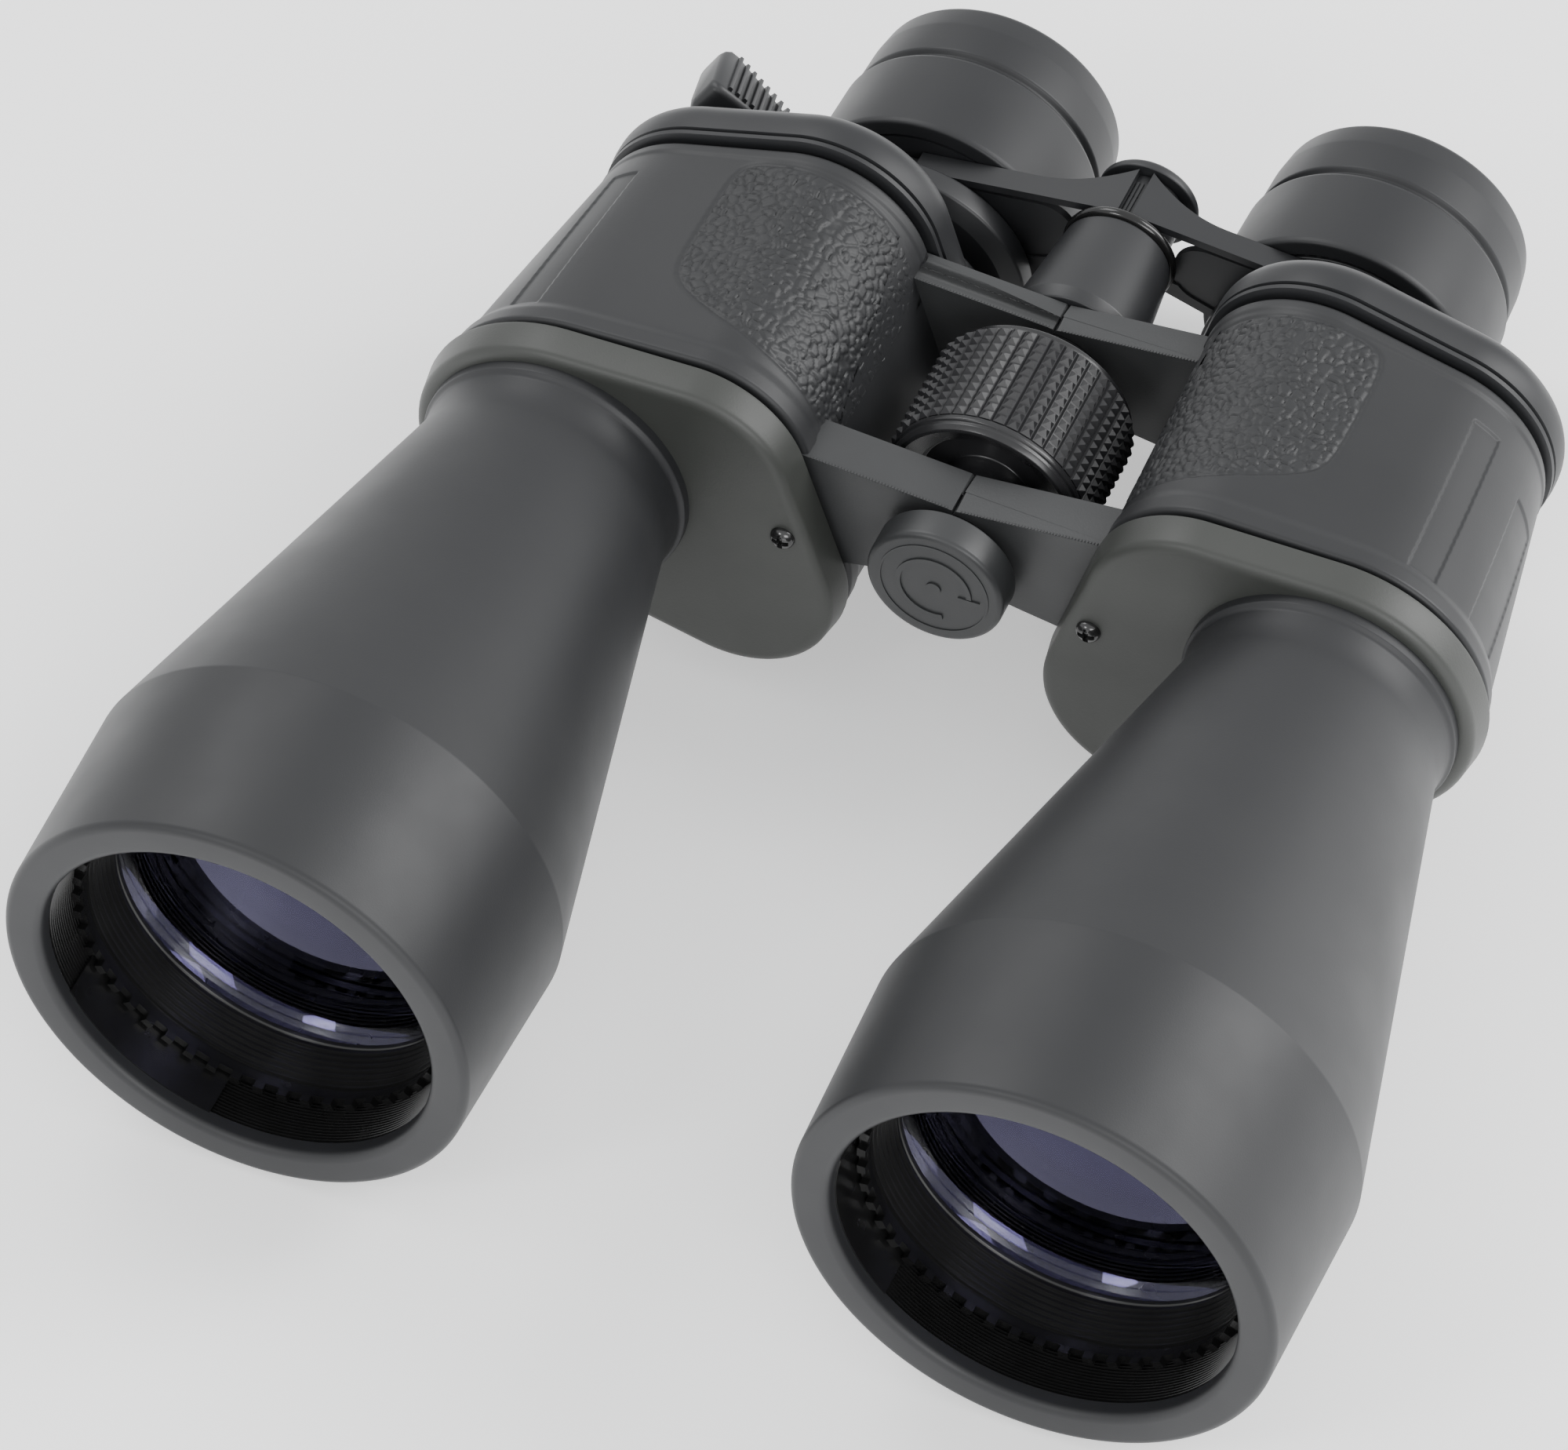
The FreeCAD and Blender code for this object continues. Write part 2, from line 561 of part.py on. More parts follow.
def focus_hub():
    """Focus wheel core: rims, necks against both arms, axle bore and the nut for the shaft."""
    y0, y1 = WHEEL_Y
    return turned([(AXLE_R + RUN, 140.8), (7.6, 140.8), (7.6, y0 + 2.4), (13.2, y0 + 2.4),
                   (13.8, y0), (16.2, y0), (16.9, y0 + 0.9), (16.9, y0 + 2.6), (WHEEL_CORE_R, y0 + 2.8),
                   (WHEEL_CORE_R, y1 - 1.6), (16.6, y1 - 1.4), (16.6, y1 - 0.5), (16.1, y1), (7.6, y1),
                   (7.6, 175.3), (SHAFT_R + RUN, 175.3), (SHAFT_R + RUN, 150.6),
                   (AXLE_R + RUN, 150.6)])


def focus_grip():
    """Rubber sleeve of the focus wheel."""
    y0, y1 = WHEEL_Y
    return ring(WHEEL_R, WHEEL_CORE_R, y0 + 2.8, y1 - 1.6, HINGE, 0.5)


def focus_shaft():
    """Lead screw that carries the bridge."""
    return rod(SHAFT_R, 156.0, 218.0)


def focus_tube():
    """Tapered tube behind the rear arms, with the spigot that the arms turn on."""
    return turned([(SHAFT_R + RUN + 0.05, 175.5), (SPIGOT_R, 175.5), (SPIGOT_R, 182.0),
                   (11.4, 182.0), (11.6, 184.0), (9.6, 203.4), (9.2, 204.0),
                   (SHAFT_R + RUN + 0.05, 204.0)])


def dust_seal():
    """Rubber ring at the back end of the focus tube."""
    return turned([(SHAFT_R + 0.3, 204.0), (9.6, 204.0), (10.1, 204.9, 9.6, 205.9),
                   (SHAFT_R + 0.3, 205.9)])


def end_cap():
    """Round cap on the back end of the focus shaft."""
    return turned([(0, 220.4), (7.4, 220.4), (8.5, 220.0, 8.95, 218.9), (8.95, 217.2),
                   (SHAFT_R, 217.2), (SHAFT_R, 218.0), (0, 218.0)])


# Every piece of one side: name, maker --------------------------------------------------------
SIDE_PARTS = {
    "barrel_armour": lambda side: barrel_armour(),
    "objective_barrel": lambda side: objective_barrel(),
    "lens_cell": lambda side: lens_cell(),
    "crown_lens": lambda side: lens(LENS_BLANK_R, 22.0, 25.0, 3.6, -4.6, OBJECTIVE),
    "flint_lens": lambda side: lens(LENS_BLANK_R, 25.0, 32.7, -4.6, -0.6, OBJECTIVE),
    "retaining_ring": lambda side: retaining_ring(),
    "prism_housing": prism_housing,
    "front_cover": lambda side: front_cover(),
    "rear_cover": lambda side: rear_cover(),
    "grip_wrap": grip_wrap,
    "front_prism": lambda side: porro_prism(MIDDLE, EYEPIECE, SHELF_Y[0], -1),
    "rear_prism": lambda side: porro_prism(OBJECTIVE, MIDDLE, SHELF_Y[1], 1),
    "prism_clips": lambda side: prism_clips(),
    "cover_screws": lambda side: cover_screws(),
    "eyepiece_guide": lambda side: eyepiece_guide(),
    "eyepiece_tube": lambda side: eyepiece_tube(),
    "bridge_arm": bridge_arm,
    "zoom_ring": lambda side: zoom_ring(),
    "zoom_carrier_front": lambda side: zoom_carrier(FRONT_CARRIER_Y),
    "zoom_lens_front": lambda side: zoom_lens(FRONT_CARRIER_Y, -0.8),
    "zoom_carrier_rear": lambda side: zoom_carrier(REAR_CARRIER_Y),
    "zoom_lens_rear": lambda side: zoom_lens(REAR_CARRIER_Y, 1.1),
    "ocular_barrel": ocular_barrel,
    "eye_lens": lambda side: eye_lens(),
    "eyecup": lambda side: eyecup(),
}
CENTRE_PARTS = {
    "front_axle": front_axle, "tripod_cap": tripod_cap, "focus_hub": focus_hub,
    "focus_grip": focus_grip, "focus_shaft": focus_shaft, "focus_tube": focus_tube,
    "dust_seal": dust_seal, "end_cap": end_cap,
}


def mirrored(shape):
    """Left-hand copy of a right-hand piece."""
    return shape.mirror(V(0, 0, 0), V(1, 0, 0))


def save(shape, node):
    """Move a piece into the object's frame and write its file."""
    placed = shape.copy()
    placed.translate(V(0, -LENGTH / 2, REST_HEIGHT))
    placed.exportStep("parts/" + node + ".step")


def main():
    """Build and write every piece."""
    os.makedirs("parts", exist_ok=True)
    for name, make in SIDE_PARTS.items():
        for side in ("left", "right"):
            shape = make(side)
            save(mirrored(shape) if side == "left" else shape, name + "_" + side)
    for name, make in CENTRE_PARTS.items():
        save(make(), name)
    save(mirrored(zoom_lever()), "zoom_lever")
    save(diopter_ring(), "diopter_ring")


main()
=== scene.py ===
"""Looks of the zoom porro binoculars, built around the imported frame.

Shapes are written in millimetres in the hinge frame: x to the right seen from the objective end,
y from the front rim towards the eyepieces, z up from the centre hinge axis. Every place and main
size is read from the CAD boxes. Right-hand pieces are mirrored to make the left-hand ones.
"""

import json
import math

import bpy
import bmesh
import numpy as np
from mathutils import Matrix, Vector


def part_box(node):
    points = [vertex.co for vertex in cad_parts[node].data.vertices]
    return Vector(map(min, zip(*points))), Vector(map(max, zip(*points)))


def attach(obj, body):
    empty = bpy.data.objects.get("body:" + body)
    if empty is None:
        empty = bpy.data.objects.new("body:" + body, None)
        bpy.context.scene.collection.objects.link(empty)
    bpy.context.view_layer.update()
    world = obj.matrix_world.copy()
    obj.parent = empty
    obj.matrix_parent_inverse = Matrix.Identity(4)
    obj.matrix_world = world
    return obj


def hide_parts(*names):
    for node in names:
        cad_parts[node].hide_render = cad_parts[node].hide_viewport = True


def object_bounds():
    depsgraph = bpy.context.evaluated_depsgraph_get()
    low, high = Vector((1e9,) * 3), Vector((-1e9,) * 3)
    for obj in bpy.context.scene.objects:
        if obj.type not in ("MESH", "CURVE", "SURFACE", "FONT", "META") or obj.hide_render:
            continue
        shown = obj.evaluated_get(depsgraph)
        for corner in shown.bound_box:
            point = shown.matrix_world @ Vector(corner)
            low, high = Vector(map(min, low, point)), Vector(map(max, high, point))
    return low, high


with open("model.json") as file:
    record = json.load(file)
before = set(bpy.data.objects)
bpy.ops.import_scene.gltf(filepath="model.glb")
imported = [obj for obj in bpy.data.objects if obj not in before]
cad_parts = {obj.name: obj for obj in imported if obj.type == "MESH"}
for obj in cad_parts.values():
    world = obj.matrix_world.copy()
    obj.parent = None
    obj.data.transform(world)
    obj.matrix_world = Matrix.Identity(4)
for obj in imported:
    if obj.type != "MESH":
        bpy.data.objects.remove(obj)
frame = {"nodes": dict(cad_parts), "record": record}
cad_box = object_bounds()

MM = 0.001
SIDES = {"left": -1, "right": 1}
FRONT = cad_box[0][1]
HINGE_Z = sum(corner[2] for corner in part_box("focus_grip")) / 2
HINGE = (0.0, 0.0)


# Reading the CAD frame ------------------------------------------------------------------------
def span(node, direction):
    """(low, high) of a CAD node along x, y or z, in the hinge frame, in millimetres."""
    k = "xyz".index(direction)
    shift = (0.0, FRONT, HINGE_Z)[k]
    return tuple((corner[k] - shift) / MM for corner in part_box(node))


def axis_of(node):
    """(x, z) of the middle of a round CAD node."""
    return tuple(sum(span(node, k)) / 2 for k in "xz")


def radius_of(node):
    """Outer radius of a round CAD node."""
    low, high = span(node, "x")
    return (high - low) / 2


OBJECTIVE = axis_of("crown_lens_right")
EYEPIECE = axis_of("eyecup_right")
# The light is shifted twice by equal steps at a right angle, so the middle axis is a corner of
# the square whose diagonal joins the other two.
HALF = ((EYEPIECE[0] - OBJECTIVE[0]) / 2, (EYEPIECE[1] - OBJECTIVE[1]) / 2)
MIDDLE = (OBJECTIVE[0] + HALF[0] + HALF[1], OBJECTIVE[1] + HALF[1] - HALF[0])


# Shape building -------------------------------------------------------------------------------
def merged(*shapes):
    """One shape from several (points, faces) shapes."""
    points, faces = [], []
    for more_points, more_faces in shapes:
        base = len(points)
        points += list(more_points)
        faces += [tuple(i + base for i in face) for face in more_faces]
    return points, faces


def mirrored(shape):
    """Left-hand copy of a right-hand shape."""
    points, faces = shape
    return [(-x, y, z) for x, y, z in points], [tuple(reversed(face)) for face in faces]


def rounded(outline, steps=5):
    """Outline of (a, b, fillet radius) with each marked corner replaced by an arc."""
    result = []
    count = len(outline)
    for i, (a, b, fillet) in enumerate(outline):
        corner = Vector((a, b))
        if not fillet:
            result.append((a, b))
            continue
        before = Vector(outline[i - 1][:2]) - corner
        after = Vector(outline[(i + 1) % count][:2]) - corner
        half_angle = before.angle(after) / 2
        reach = min(fillet / math.tan(half_angle), 0.49 * before.length, 0.49 * after.length)
        radius = reach * math.tan(half_angle)
        middle = corner + (before.normalized() + after.normalized()).normalized() * (
            radius / math.sin(half_angle))
        start = corner + before.normalized() * reach - middle
        sweep = start.angle_signed(corner + after.normalized() * reach - middle)
        for k in range(steps + 1):
            result.append(tuple(middle + Matrix.Rotation(-sweep * k / steps, 2) @ start))
    return result


def lathe(outline, axis=HINGE, segments=128, arc=None, steps=5):
    """Solid of revolution about a Y-parallel axis from a closed outline of (radius, y, fillet)."""
    outline = rounded([tuple(p) + (0,) * (3 - len(p)) for p in outline], steps)
    points, faces = [], []
    start, end = arc or (0.0, 2 * math.pi)
    columns = segments if arc is None else segments + 1
    for i in range(columns):
        angle = start + (end - start) * i / segments
        c, s = math.cos(angle), math.sin(angle)
        points += [(axis[0] + r * c, y, axis[1] + r * s) for r, y in outline]
    rows = len(outline)
    for i in range(segments):
        here, there = i * rows, (i + 1) % columns * rows
        for j in range(rows):
            k = (j + 1) % rows
            faces.append((here + j, here + k, there + k, there + j))
    if arc is not None:
        faces += [tuple(range(rows - 1, -1, -1)),
                  tuple(range(rows * segments, rows * columns))]
    return points, faces


def loft(rings, capped=True):
    """Skin through rings of points, all with the same count, closed at both ends if capped."""
    count = len(rings[0])
    points = [p for ring in rings for p in ring]
    faces = []
    for i in range(len(rings) - 1):
        for j in range(count):
            k = (j + 1) % count
            faces.append((i * count + j, i * count + k, (i + 1) * count + k, (i + 1) * count + j))
    if capped:
        faces += [tuple(range(count - 1, -1, -1)),
                  tuple(range((len(rings) - 1) * count, len(rings) * count))]
    return points, faces


def tangent_ring(circles, y, arc_points=28, line_points=10):
    """Points around circles (x, z, radius), given counter-clockwise, joined by tangents."""
    count = len(circles)
    normals = []
    for i in range(count):
        x0, z0, r0 = circles[i]
        x1, z1, r1 = circles[(i + 1) % count]
        along = math.atan2(z1 - z0, x1 - x0)
        normals.append(along - math.pi / 2 + math.asin((r0 - r1) / math.hypot(x1 - x0, z1 - z0)))
    ring = []
    for i in range(count):
        x0, z0, r0 = circles[i]
        start, end = normals[i - 1], normals[i]
        while end < start:
            end += 2 * math.pi
        for k in range(arc_points):
            a = start + (end - start) * k / (arc_points - 1)
            ring.append((x0 + r0 * math.cos(a), y, z0 + r0 * math.sin(a)))
        x1, z1, r1 = circles[(i + 1) % count]
        join = (x1 + r1 * math.cos(end), y, z1 + r1 * math.sin(end))
        last = ring[-1]
        for k in range(1, line_points):
            part = k / line_points
            ring.append(tuple(last[m] + (join[m] - last[m]) * part for m in range(3)))
    return ring


def extruded(outline, y0, y1):
    """Flat piece with the (x, z) outline, from y0 to y1."""
    return loft([[(x, y0, z) for x, z in outline], [(x, y1, z) for x, z in outline]])


def block(x0, x1, y0, y1, z0, z1):
    """Box between two corners."""
    return extruded([(x0, z0), (x1, z0), (x1, z1), (x0, z1)], y0, y1)


def turned_about(shape, degrees, axis=HINGE):
    """Shape turned about a Y-parallel axis; a positive turn lowers the right-hand side."""
    points, faces = shape
    a = math.radians(degrees)
    c, s = math.cos(a), math.sin(a)
    return [(axis[0] + (x - axis[0]) * c + (z - axis[1]) * s, y,
             axis[1] - (x - axis[0]) * s + (z - axis[1]) * c) for x, y, z in points], faces


# Pieces ---------------------------------------------------------------------------------------
def piece(name, shape, body, look, nodes=(), sharp=32, bevel=0.0, steps=3):
    """Makes one object from a shape, rides it on its CAD body and hides the nodes it replaces."""
    points, faces = shape
    mesh = bpy.data.meshes.new(name)
    mesh.from_pydata([(x * MM, FRONT + y * MM, HINGE_Z + z * MM) for x, y, z in points], [], faces)
    obj = bpy.data.objects.new(name, mesh)
    bpy.context.scene.collection.objects.link(obj)
    work = bmesh.new()
    work.from_mesh(mesh)
    bmesh.ops.remove_doubles(work, verts=work.verts, dist=1e-7)
    bmesh.ops.recalc_face_normals(work, faces=work.faces)
    if bevel:
        edges = [e for e in work.edges if e.is_manifold and e.calc_face_angle() > math.radians(28)]
        bmesh.ops.bevel(work, geom=edges, offset=bevel * MM, segments=steps, profile=0.5,
                        affect="EDGES", clamp_overlap=True)
    for face in work.faces:
        face.smooth = True
    for edge in work.edges:
        edge.smooth = not edge.is_manifold or edge.calc_face_angle() < math.radians(sharp)
    work.to_mesh(mesh)
    work.free()
    mesh.materials.append(MATERIALS[look])
    if bevel:
        modifier = obj.modifiers.new("flat_faces", "WEIGHTED_NORMAL")
        modifier.keep_sharp = True
    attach(obj, body)
    if nodes:
        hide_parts(*nodes)
    return obj


# Camera, light and floor ----------------------------------------------------------------------
def make_camera():
    """Camera at the reference viewing angle: long lens, high over the objective ends."""
    azimuth, elevation, roll = 23.594, 48.605, -0.792
    distance = 1.4733
    aim = Vector((-0.02027, -0.01785, 0.01657))
    a, e = math.radians(azimuth), math.radians(elevation)
    back = Vector((math.sin(a) * math.cos(e), -math.cos(a) * math.cos(e), math.sin(e)))
    right = Vector((math.cos(a), math.sin(a), 0.0))
    up = back.cross(right)
    turn = Matrix((right, up, back)).transposed() @ Matrix.Rotation(math.radians(roll), 3, "Z")
    data = bpy.data.cameras.new("camera")
    data.sensor_width = 36.0
    data.lens = 208.47
    data.shift_x = 0.00782
    data.shift_y = 0.00415
    data.clip_end = 20.0
    camera = bpy.data.objects.new("camera", data)
    camera.matrix_world = Matrix.Translation(aim + back * distance) @ turn.to_4x4()
    bpy.context.scene.collection.objects.link(camera)
    bpy.context.scene.camera = camera


def area_light(name, place, size, power, target=(0.0, 0.0, 0.03)):
    """Soft rectangular lamp at place, facing target."""
    data = bpy.data.lights.new(name, "AREA")
    data.shape = "RECTANGLE"
    data.size, data.size_y = size
    data.energy = power
    lamp = bpy.data.objects.new(name, data)
    direction = Vector(target) - Vector(place)
    lamp.location = place
    lamp.rotation_euler = direction.to_track_quat("-Z", "Y").to_euler()
    bpy.context.scene.collection.objects.link(lamp)


def make_studio():
    """Pale floor, pale surroundings and soft lamps."""
    world = bpy.data.worlds.new("studio")
    world.use_nodes = True
    world.node_tree.nodes["Background"].inputs["Color"].default_value = (0.96, 0.97, 0.98, 1.0)
    world.node_tree.nodes["Background"].inputs["Strength"].default_value = 1.15
    bpy.context.scene.world = world
    area_light("key", (-0.9, 0.5, 1.3), (0.7, 0.7), 7.0)
    area_light("front", (0.9, -1.2, 0.9), (1.0, 0.6), 13.0)
    area_light("rim", (0.9, 0.6, 0.8), (0.5, 1.0), 14.0)
    area_light("hood", (-0.6, -1.2, 1.1), (0.35, 0.35), 5.0, (0.0, -0.1, 0.04))

    mesh = bpy.data.meshes.new("floor")
    size = 6.0
    mesh.from_pydata([(-size, -size, 0), (size, -size, 0), (size, size, 0), (-size, size, 0)],
                     [], [(0, 1, 2, 3)])
    floor = bpy.data.objects.new("floor", mesh)
    floor.location.z = cad_box[0][2] - 0.0002
    bpy.context.scene.collection.objects.link(floor)
    material = bpy.data.materials.new("floor_white")
    material.use_nodes = True
    shader = material.node_tree.nodes["Principled BSDF"]
    shader.inputs["Base Color"].default_value = (0.95, 0.95, 0.95, 1.0)
    shader.inputs["Roughness"].default_value = 0.8
    shader.inputs["Emission Color"].default_value = (1.0, 1.0, 1.0, 1.0)
    shader.inputs["Emission Strength"].default_value = 0.5
    mesh.materials.append(material)


# Materials ------------------------------------------------------------------------------------
def nodes_of(name):
    """New material with its node tree, shader and an object-space position in millimetres."""
    material = bpy.data.materials.new(name)
    material.use_nodes = True
    tree = material.node_tree
    shader = tree.nodes["Principled BSDF"]
    place = tree.nodes.new("ShaderNodeTexCoord").outputs["Object"]
    scale = tree.nodes.new("ShaderNodeVectorMath")
    scale.operation = "SCALE"
    scale.inputs["Scale"].default_value = 1000.0
    tree.links.new(place, scale.inputs[0])
    return material, tree, shader, scale.outputs["Vector"]


def noise_node(tree, place, size, detail=3.0, roughness=0.5):
    """Noise whose features are about size millimetres across; returns its 0 to 1 factor."""
    node = tree.nodes.new("ShaderNodeTexNoise")
    node.inputs["Scale"].default_value = 1.0 / size
    node.inputs["Detail"].default_value = detail
    node.inputs["Roughness"].default_value = roughness
    tree.links.new(place, node.inputs["Vector"])
    return node.outputs["Fac"]


def ranged(tree, factor, low, high, start=0.3, end=0.7):
    """Factor mapped from start..end to low..high."""
    node = tree.nodes.new("ShaderNodeMapRange")
    node.inputs["From Min"].default_value = start
    node.inputs["From Max"].default_value = end
    node.inputs["To Min"].default_value = low
    node.inputs["To Max"].default_value = high
    tree.links.new(factor, node.inputs["Value"])
    return node.outputs["Result"]


def bump(tree, shader, height, distance, strength):
    """Bump from a height socket, distance in millimetres, into the shader."""
    node = tree.nodes.new("ShaderNodeBump")
    node.inputs["Distance"].default_value = distance * MM
    node.inputs["Strength"].default_value = strength
    tree.links.new(height, node.inputs["Height"])
    tree.links.new(node.outputs["Normal"], shader.inputs["Normal"])


def shaded_colour(tree, place, shader, dark, light, size):
    """Base colour that wanders between two tones over size millimetres."""
    mix = tree.nodes.new("ShaderNodeMix")
    mix.data_type = "RGBA"
    mix.inputs[6].default_value = (*dark, 1.0)
    mix.inputs[7].default_value = (*light, 1.0)
    tree.links.new(ranged(tree, noise_node(tree, place, size, 4.0), 0.0, 1.0), mix.inputs[0])
    tree.links.new(mix.outputs[2], shader.inputs["Base Color"])


def grained(name, dark, light, rough, grain, depth, patch, level=0.5):
    """Moulded or coated surface: fine grain of that size and depth, with broad tone changes."""
    material, tree, shader, place = nodes_of(name)
    shaded_colour(tree, place, shader, dark, light, patch)
    fine = noise_node(tree, place, grain, 2.0, 0.6)
    broad = noise_node(tree, place, patch * 0.6, 3.0)
    tree.links.new(ranged(tree, broad, rough - 0.03, rough + 0.03), shader.inputs["Roughness"])
    bump(tree, shader, fine, depth, 0.6)
    shader.inputs["Specular IOR Level"].default_value = level
    return material


def metal(name, colour, rough):
    """Turned steel with fine rings along the turning axis."""
    material, tree, shader, place = nodes_of(name)
    shaded_colour(tree, place, shader, tuple(c * 0.85 for c in colour), colour, 5.0)
    wave = tree.nodes.new("ShaderNodeTexWave")
    wave.bands_direction = "Y"
    wave.inputs["Scale"].default_value = 2.0
    wave.inputs["Distortion"].default_value = 1.5
    tree.links.new(place, wave.inputs["Vector"])
    tree.links.new(ranged(tree, wave.outputs["Fac"], rough - 0.05, rough + 0.07, 0.0, 1.0),
                   shader.inputs["Roughness"])
    bump(tree, shader, wave.outputs["Fac"], 0.01, 0.3)
    shader.inputs["Metallic"].default_value = 1.0
    return material


def coated_glass(name, tint, colour):
    """Lens glass with a tinted anti-reflection coating."""
    material, tree, shader, place = nodes_of(name)
    shaded_colour(tree, place, shader, tuple(c * 0.93 for c in colour), colour, 20.0)
    shader.inputs["Roughness"].default_value = 0.0
    shader.inputs["Transmission Weight"].default_value = 1.0
    shader.inputs["IOR"].default_value = 1.52
    shader.inputs["Specular Tint"].default_value = (*tint, 1.0)
    return material


# material name, darker and lighter tone, roughness, grain size and depth, tone patch, specular
FINISHES = {
    "armour": ("armour_rubber", (0.0155, 0.0160, 0.0175), (0.018, 0.0185, 0.020), 0.48, 0.30,
        0.022, 24.0, 0.4),
    "wrap": ("wrap_rubber", (0.0155, 0.0160, 0.0172), (0.018, 0.0185, 0.0198), 0.46, 0.28, 0.020,
        20.0, 0.4),
    "inner": ("inner_black", (0.006, 0.006, 0.006), (0.009, 0.009, 0.009), 0.25, 0.5, 0.008, 8.0),
    "casting": ("satin_casting", (0.026, 0.027, 0.028), (0.031, 0.032, 0.033), 0.42, 0.40, 0.035,
        20.0),
    "cover": ("sanded_cover", (0.027, 0.029, 0.026), (0.032, 0.034, 0.031), 0.46, 0.40, 0.035,
        20.0),
    "cell": ("ribbed_cell", (0.010, 0.010, 0.010), (0.014, 0.014, 0.014), 0.22, 0.5, 0.006, 8.0),
    "cap": ("cap_plastic", (0.020, 0.021, 0.022), (0.024, 0.025, 0.026), 0.42, 0.32, 0.022, 16.0),
    "plastic": ("satin_plastic", (0.0140, 0.0145, 0.0160), (0.0165, 0.0170, 0.0185), 0.42, 0.28,
        0.012, 18.0),
    "eyecup": ("eyecup_rubber", (0.0140, 0.0145, 0.0160), (0.0165, 0.0170, 0.0185), 0.46, 0.30,
        0.016, 20.0, 0.4),
    "grip": ("grip_rubber", (0.013, 0.013, 0.0145), (0.018, 0.018, 0.0195), 0.40, 0.25, 0.015, 6.0),
    "seal": ("seal_rubber", (0.007, 0.007, 0.007), (0.010, 0.010, 0.010), 0.16, 0.8, 0.004, 8.0),
    "black_metal": ("black_metal", (0.012, 0.012, 0.013), (0.016, 0.016, 0.017), 0.25, 0.3, 0.006,
        8.0),
    "screw": ("screw_black", (0.010, 0.010, 0.010), (0.018, 0.018, 0.018), 0.16, 0.5, 0.006, 3.0,
        0.8),
}
MATERIALS = {look: grained(*finish) for look, finish in FINISHES.items()}
MATERIALS.update(
    steel=metal("turned_steel", (0.55, 0.55, 0.57), 0.28),
    lens=coated_glass("coated_glass", (0.42, 0.36, 1.0), (0.93, 0.93, 1.0)),
    glass=coated_glass("clear_glass", (0.9, 1.0, 0.9), (0.96, 1.0, 0.97)))
SLOT_MATERIALS = {
    "armour_rubber": "armour", "inner_black": "inner", "coated_glass": "lens",
    "clear_glass": "glass", "satin_casting": "casting", "satin_plastic": "plastic",
    "eyecup_rubber": "eyecup", "grip_rubber": "grip", "seal_rubber": "seal",
    "black_metal": "black_metal", "screw_black": "screw", "steel": "steel",
}
LOOK_SLOTS = {look: slot for slot, look in SLOT_MATERIALS.items()}
LOOK_SLOTS.update(wrap="armour_rubber", cell="inner_black", cover="satin_casting",
                  cap="satin_plastic")


def repaint_nodes():
    """Gives every CAD node the material of its slot."""
    for part in frame["record"]["subparts"]:
        node = frame["nodes"][part["node"]]
        material = MATERIALS[SLOT_MATERIALS[part["material_slot"]]]
        for k in range(max(1, len(node.data.materials))):
            if k < len(node.data.materials):
                node.data.materials[k] = material
            else:
                node.data.materials.append(material)


# Shared places, read from the CAD boxes --------------------------------------------------------
COVER_Y = span("front_cover_right", "y")[0]
BODY_Y, REAR_Y = span("prism_housing_right", "y")
WRAP_FRONT, WRAP_BACK = span("grip_wrap_right", "y")
BACK_Y = span("rear_cover_right", "y")[1]
RING_FRONT, RING_BACK = span("zoom_ring_right", "y")
CUP_Y, BACK_END = span("eyecup_right", "y")
GRIP_FRONT, GRIP_BACK = span("focus_grip", "y")
BRIDGE_FRONT, BRIDGE_BACK = span("bridge_arm_right", "y")
CAP_FRONT, CAP_BACK = span("tripod_cap", "y")
TUBE_FRONT, TUBE_BACK = span("focus_tube", "y")
GRIP_R = radius_of("focus_grip")
CAP_R = radius_of("tripod_cap")
CUP_R = radius_of("eyecup_right")
RING_R = radius_of("zoom_ring_right")
TUBE_R = radius_of("eyepiece_tube_right")
SHAFT_R = radius_of("focus_shaft")
CREASE_R = radius_of("barrel_armour_right")

# Sizes that are the object's own, in millimetres -------------------------------------------------
MOUTH_R = 33.15             # opening of a hood
CREASE_Y = 34.4             # where the hood turns into the cone
NECK_R = 22.3               # narrow end of the cone
NECK_Y = 117.0              # where the cone ends
CELL_Y = (12.5, 21.4)       # ribbed cell in front of the lens
SEAT_END_Y = 32.8           # back of the lens seat
SKIN = 1.4                  # rubber on the barrel
SEAT_R = 32.4               # bore that the objective lens sits in
LENS_R = 30.0               # clear radius of the objective lens
WRAP_T = 1.6                # rubber on the prism housing
FRONT_RADII = (25.4, 18.8, 18.6)
REAR_RADII = (21.0, 20.0, 19.4)
AXES = (OBJECTIVE, MIDDLE, EYEPIECE)
REAR_AXES = ((62.5, 1.5), MIDDLE, EYEPIECE)
ARM_TOP = 9.9               # flat top of the hinge arms above the hinge axis
ARM_TILT = 5.25             # each half is opened this far past flat, degrees
FRONT_ARM = (131.8, 140.6)  # y of the hinge arms
REAR_ARM = (175.5, 181.8)
KNUCKLE_R = 8.6
SCREW_SPOTS = ((26.6, 0.5), (53.5, -21.5))
HUB_BORE_R = 4.05           # focus wheel's running fit on the front axle
HUB_R = 7.6                 # focus wheel's necks
HUB_Y = (140.8, 175.3)
HUB_STEP_Y = 150.6          # the wheel's bore narrows to the focus shaft here
BRIDGE_RING_R = 17.0
BRIDGE_KNUCKLE_R = 7.0
LEVER_ANGLE = 36.0          # the zoom lever stands this far above the horizontal, outwards
PAD_ROLL = -22.0            # turn of the lever's ribbed pad about its own length
PATCH_ARC = {"left": (math.radians(203), math.radians(257)),    # smooth patch in the thread
             "right": (math.radians(167), math.radians(221))}


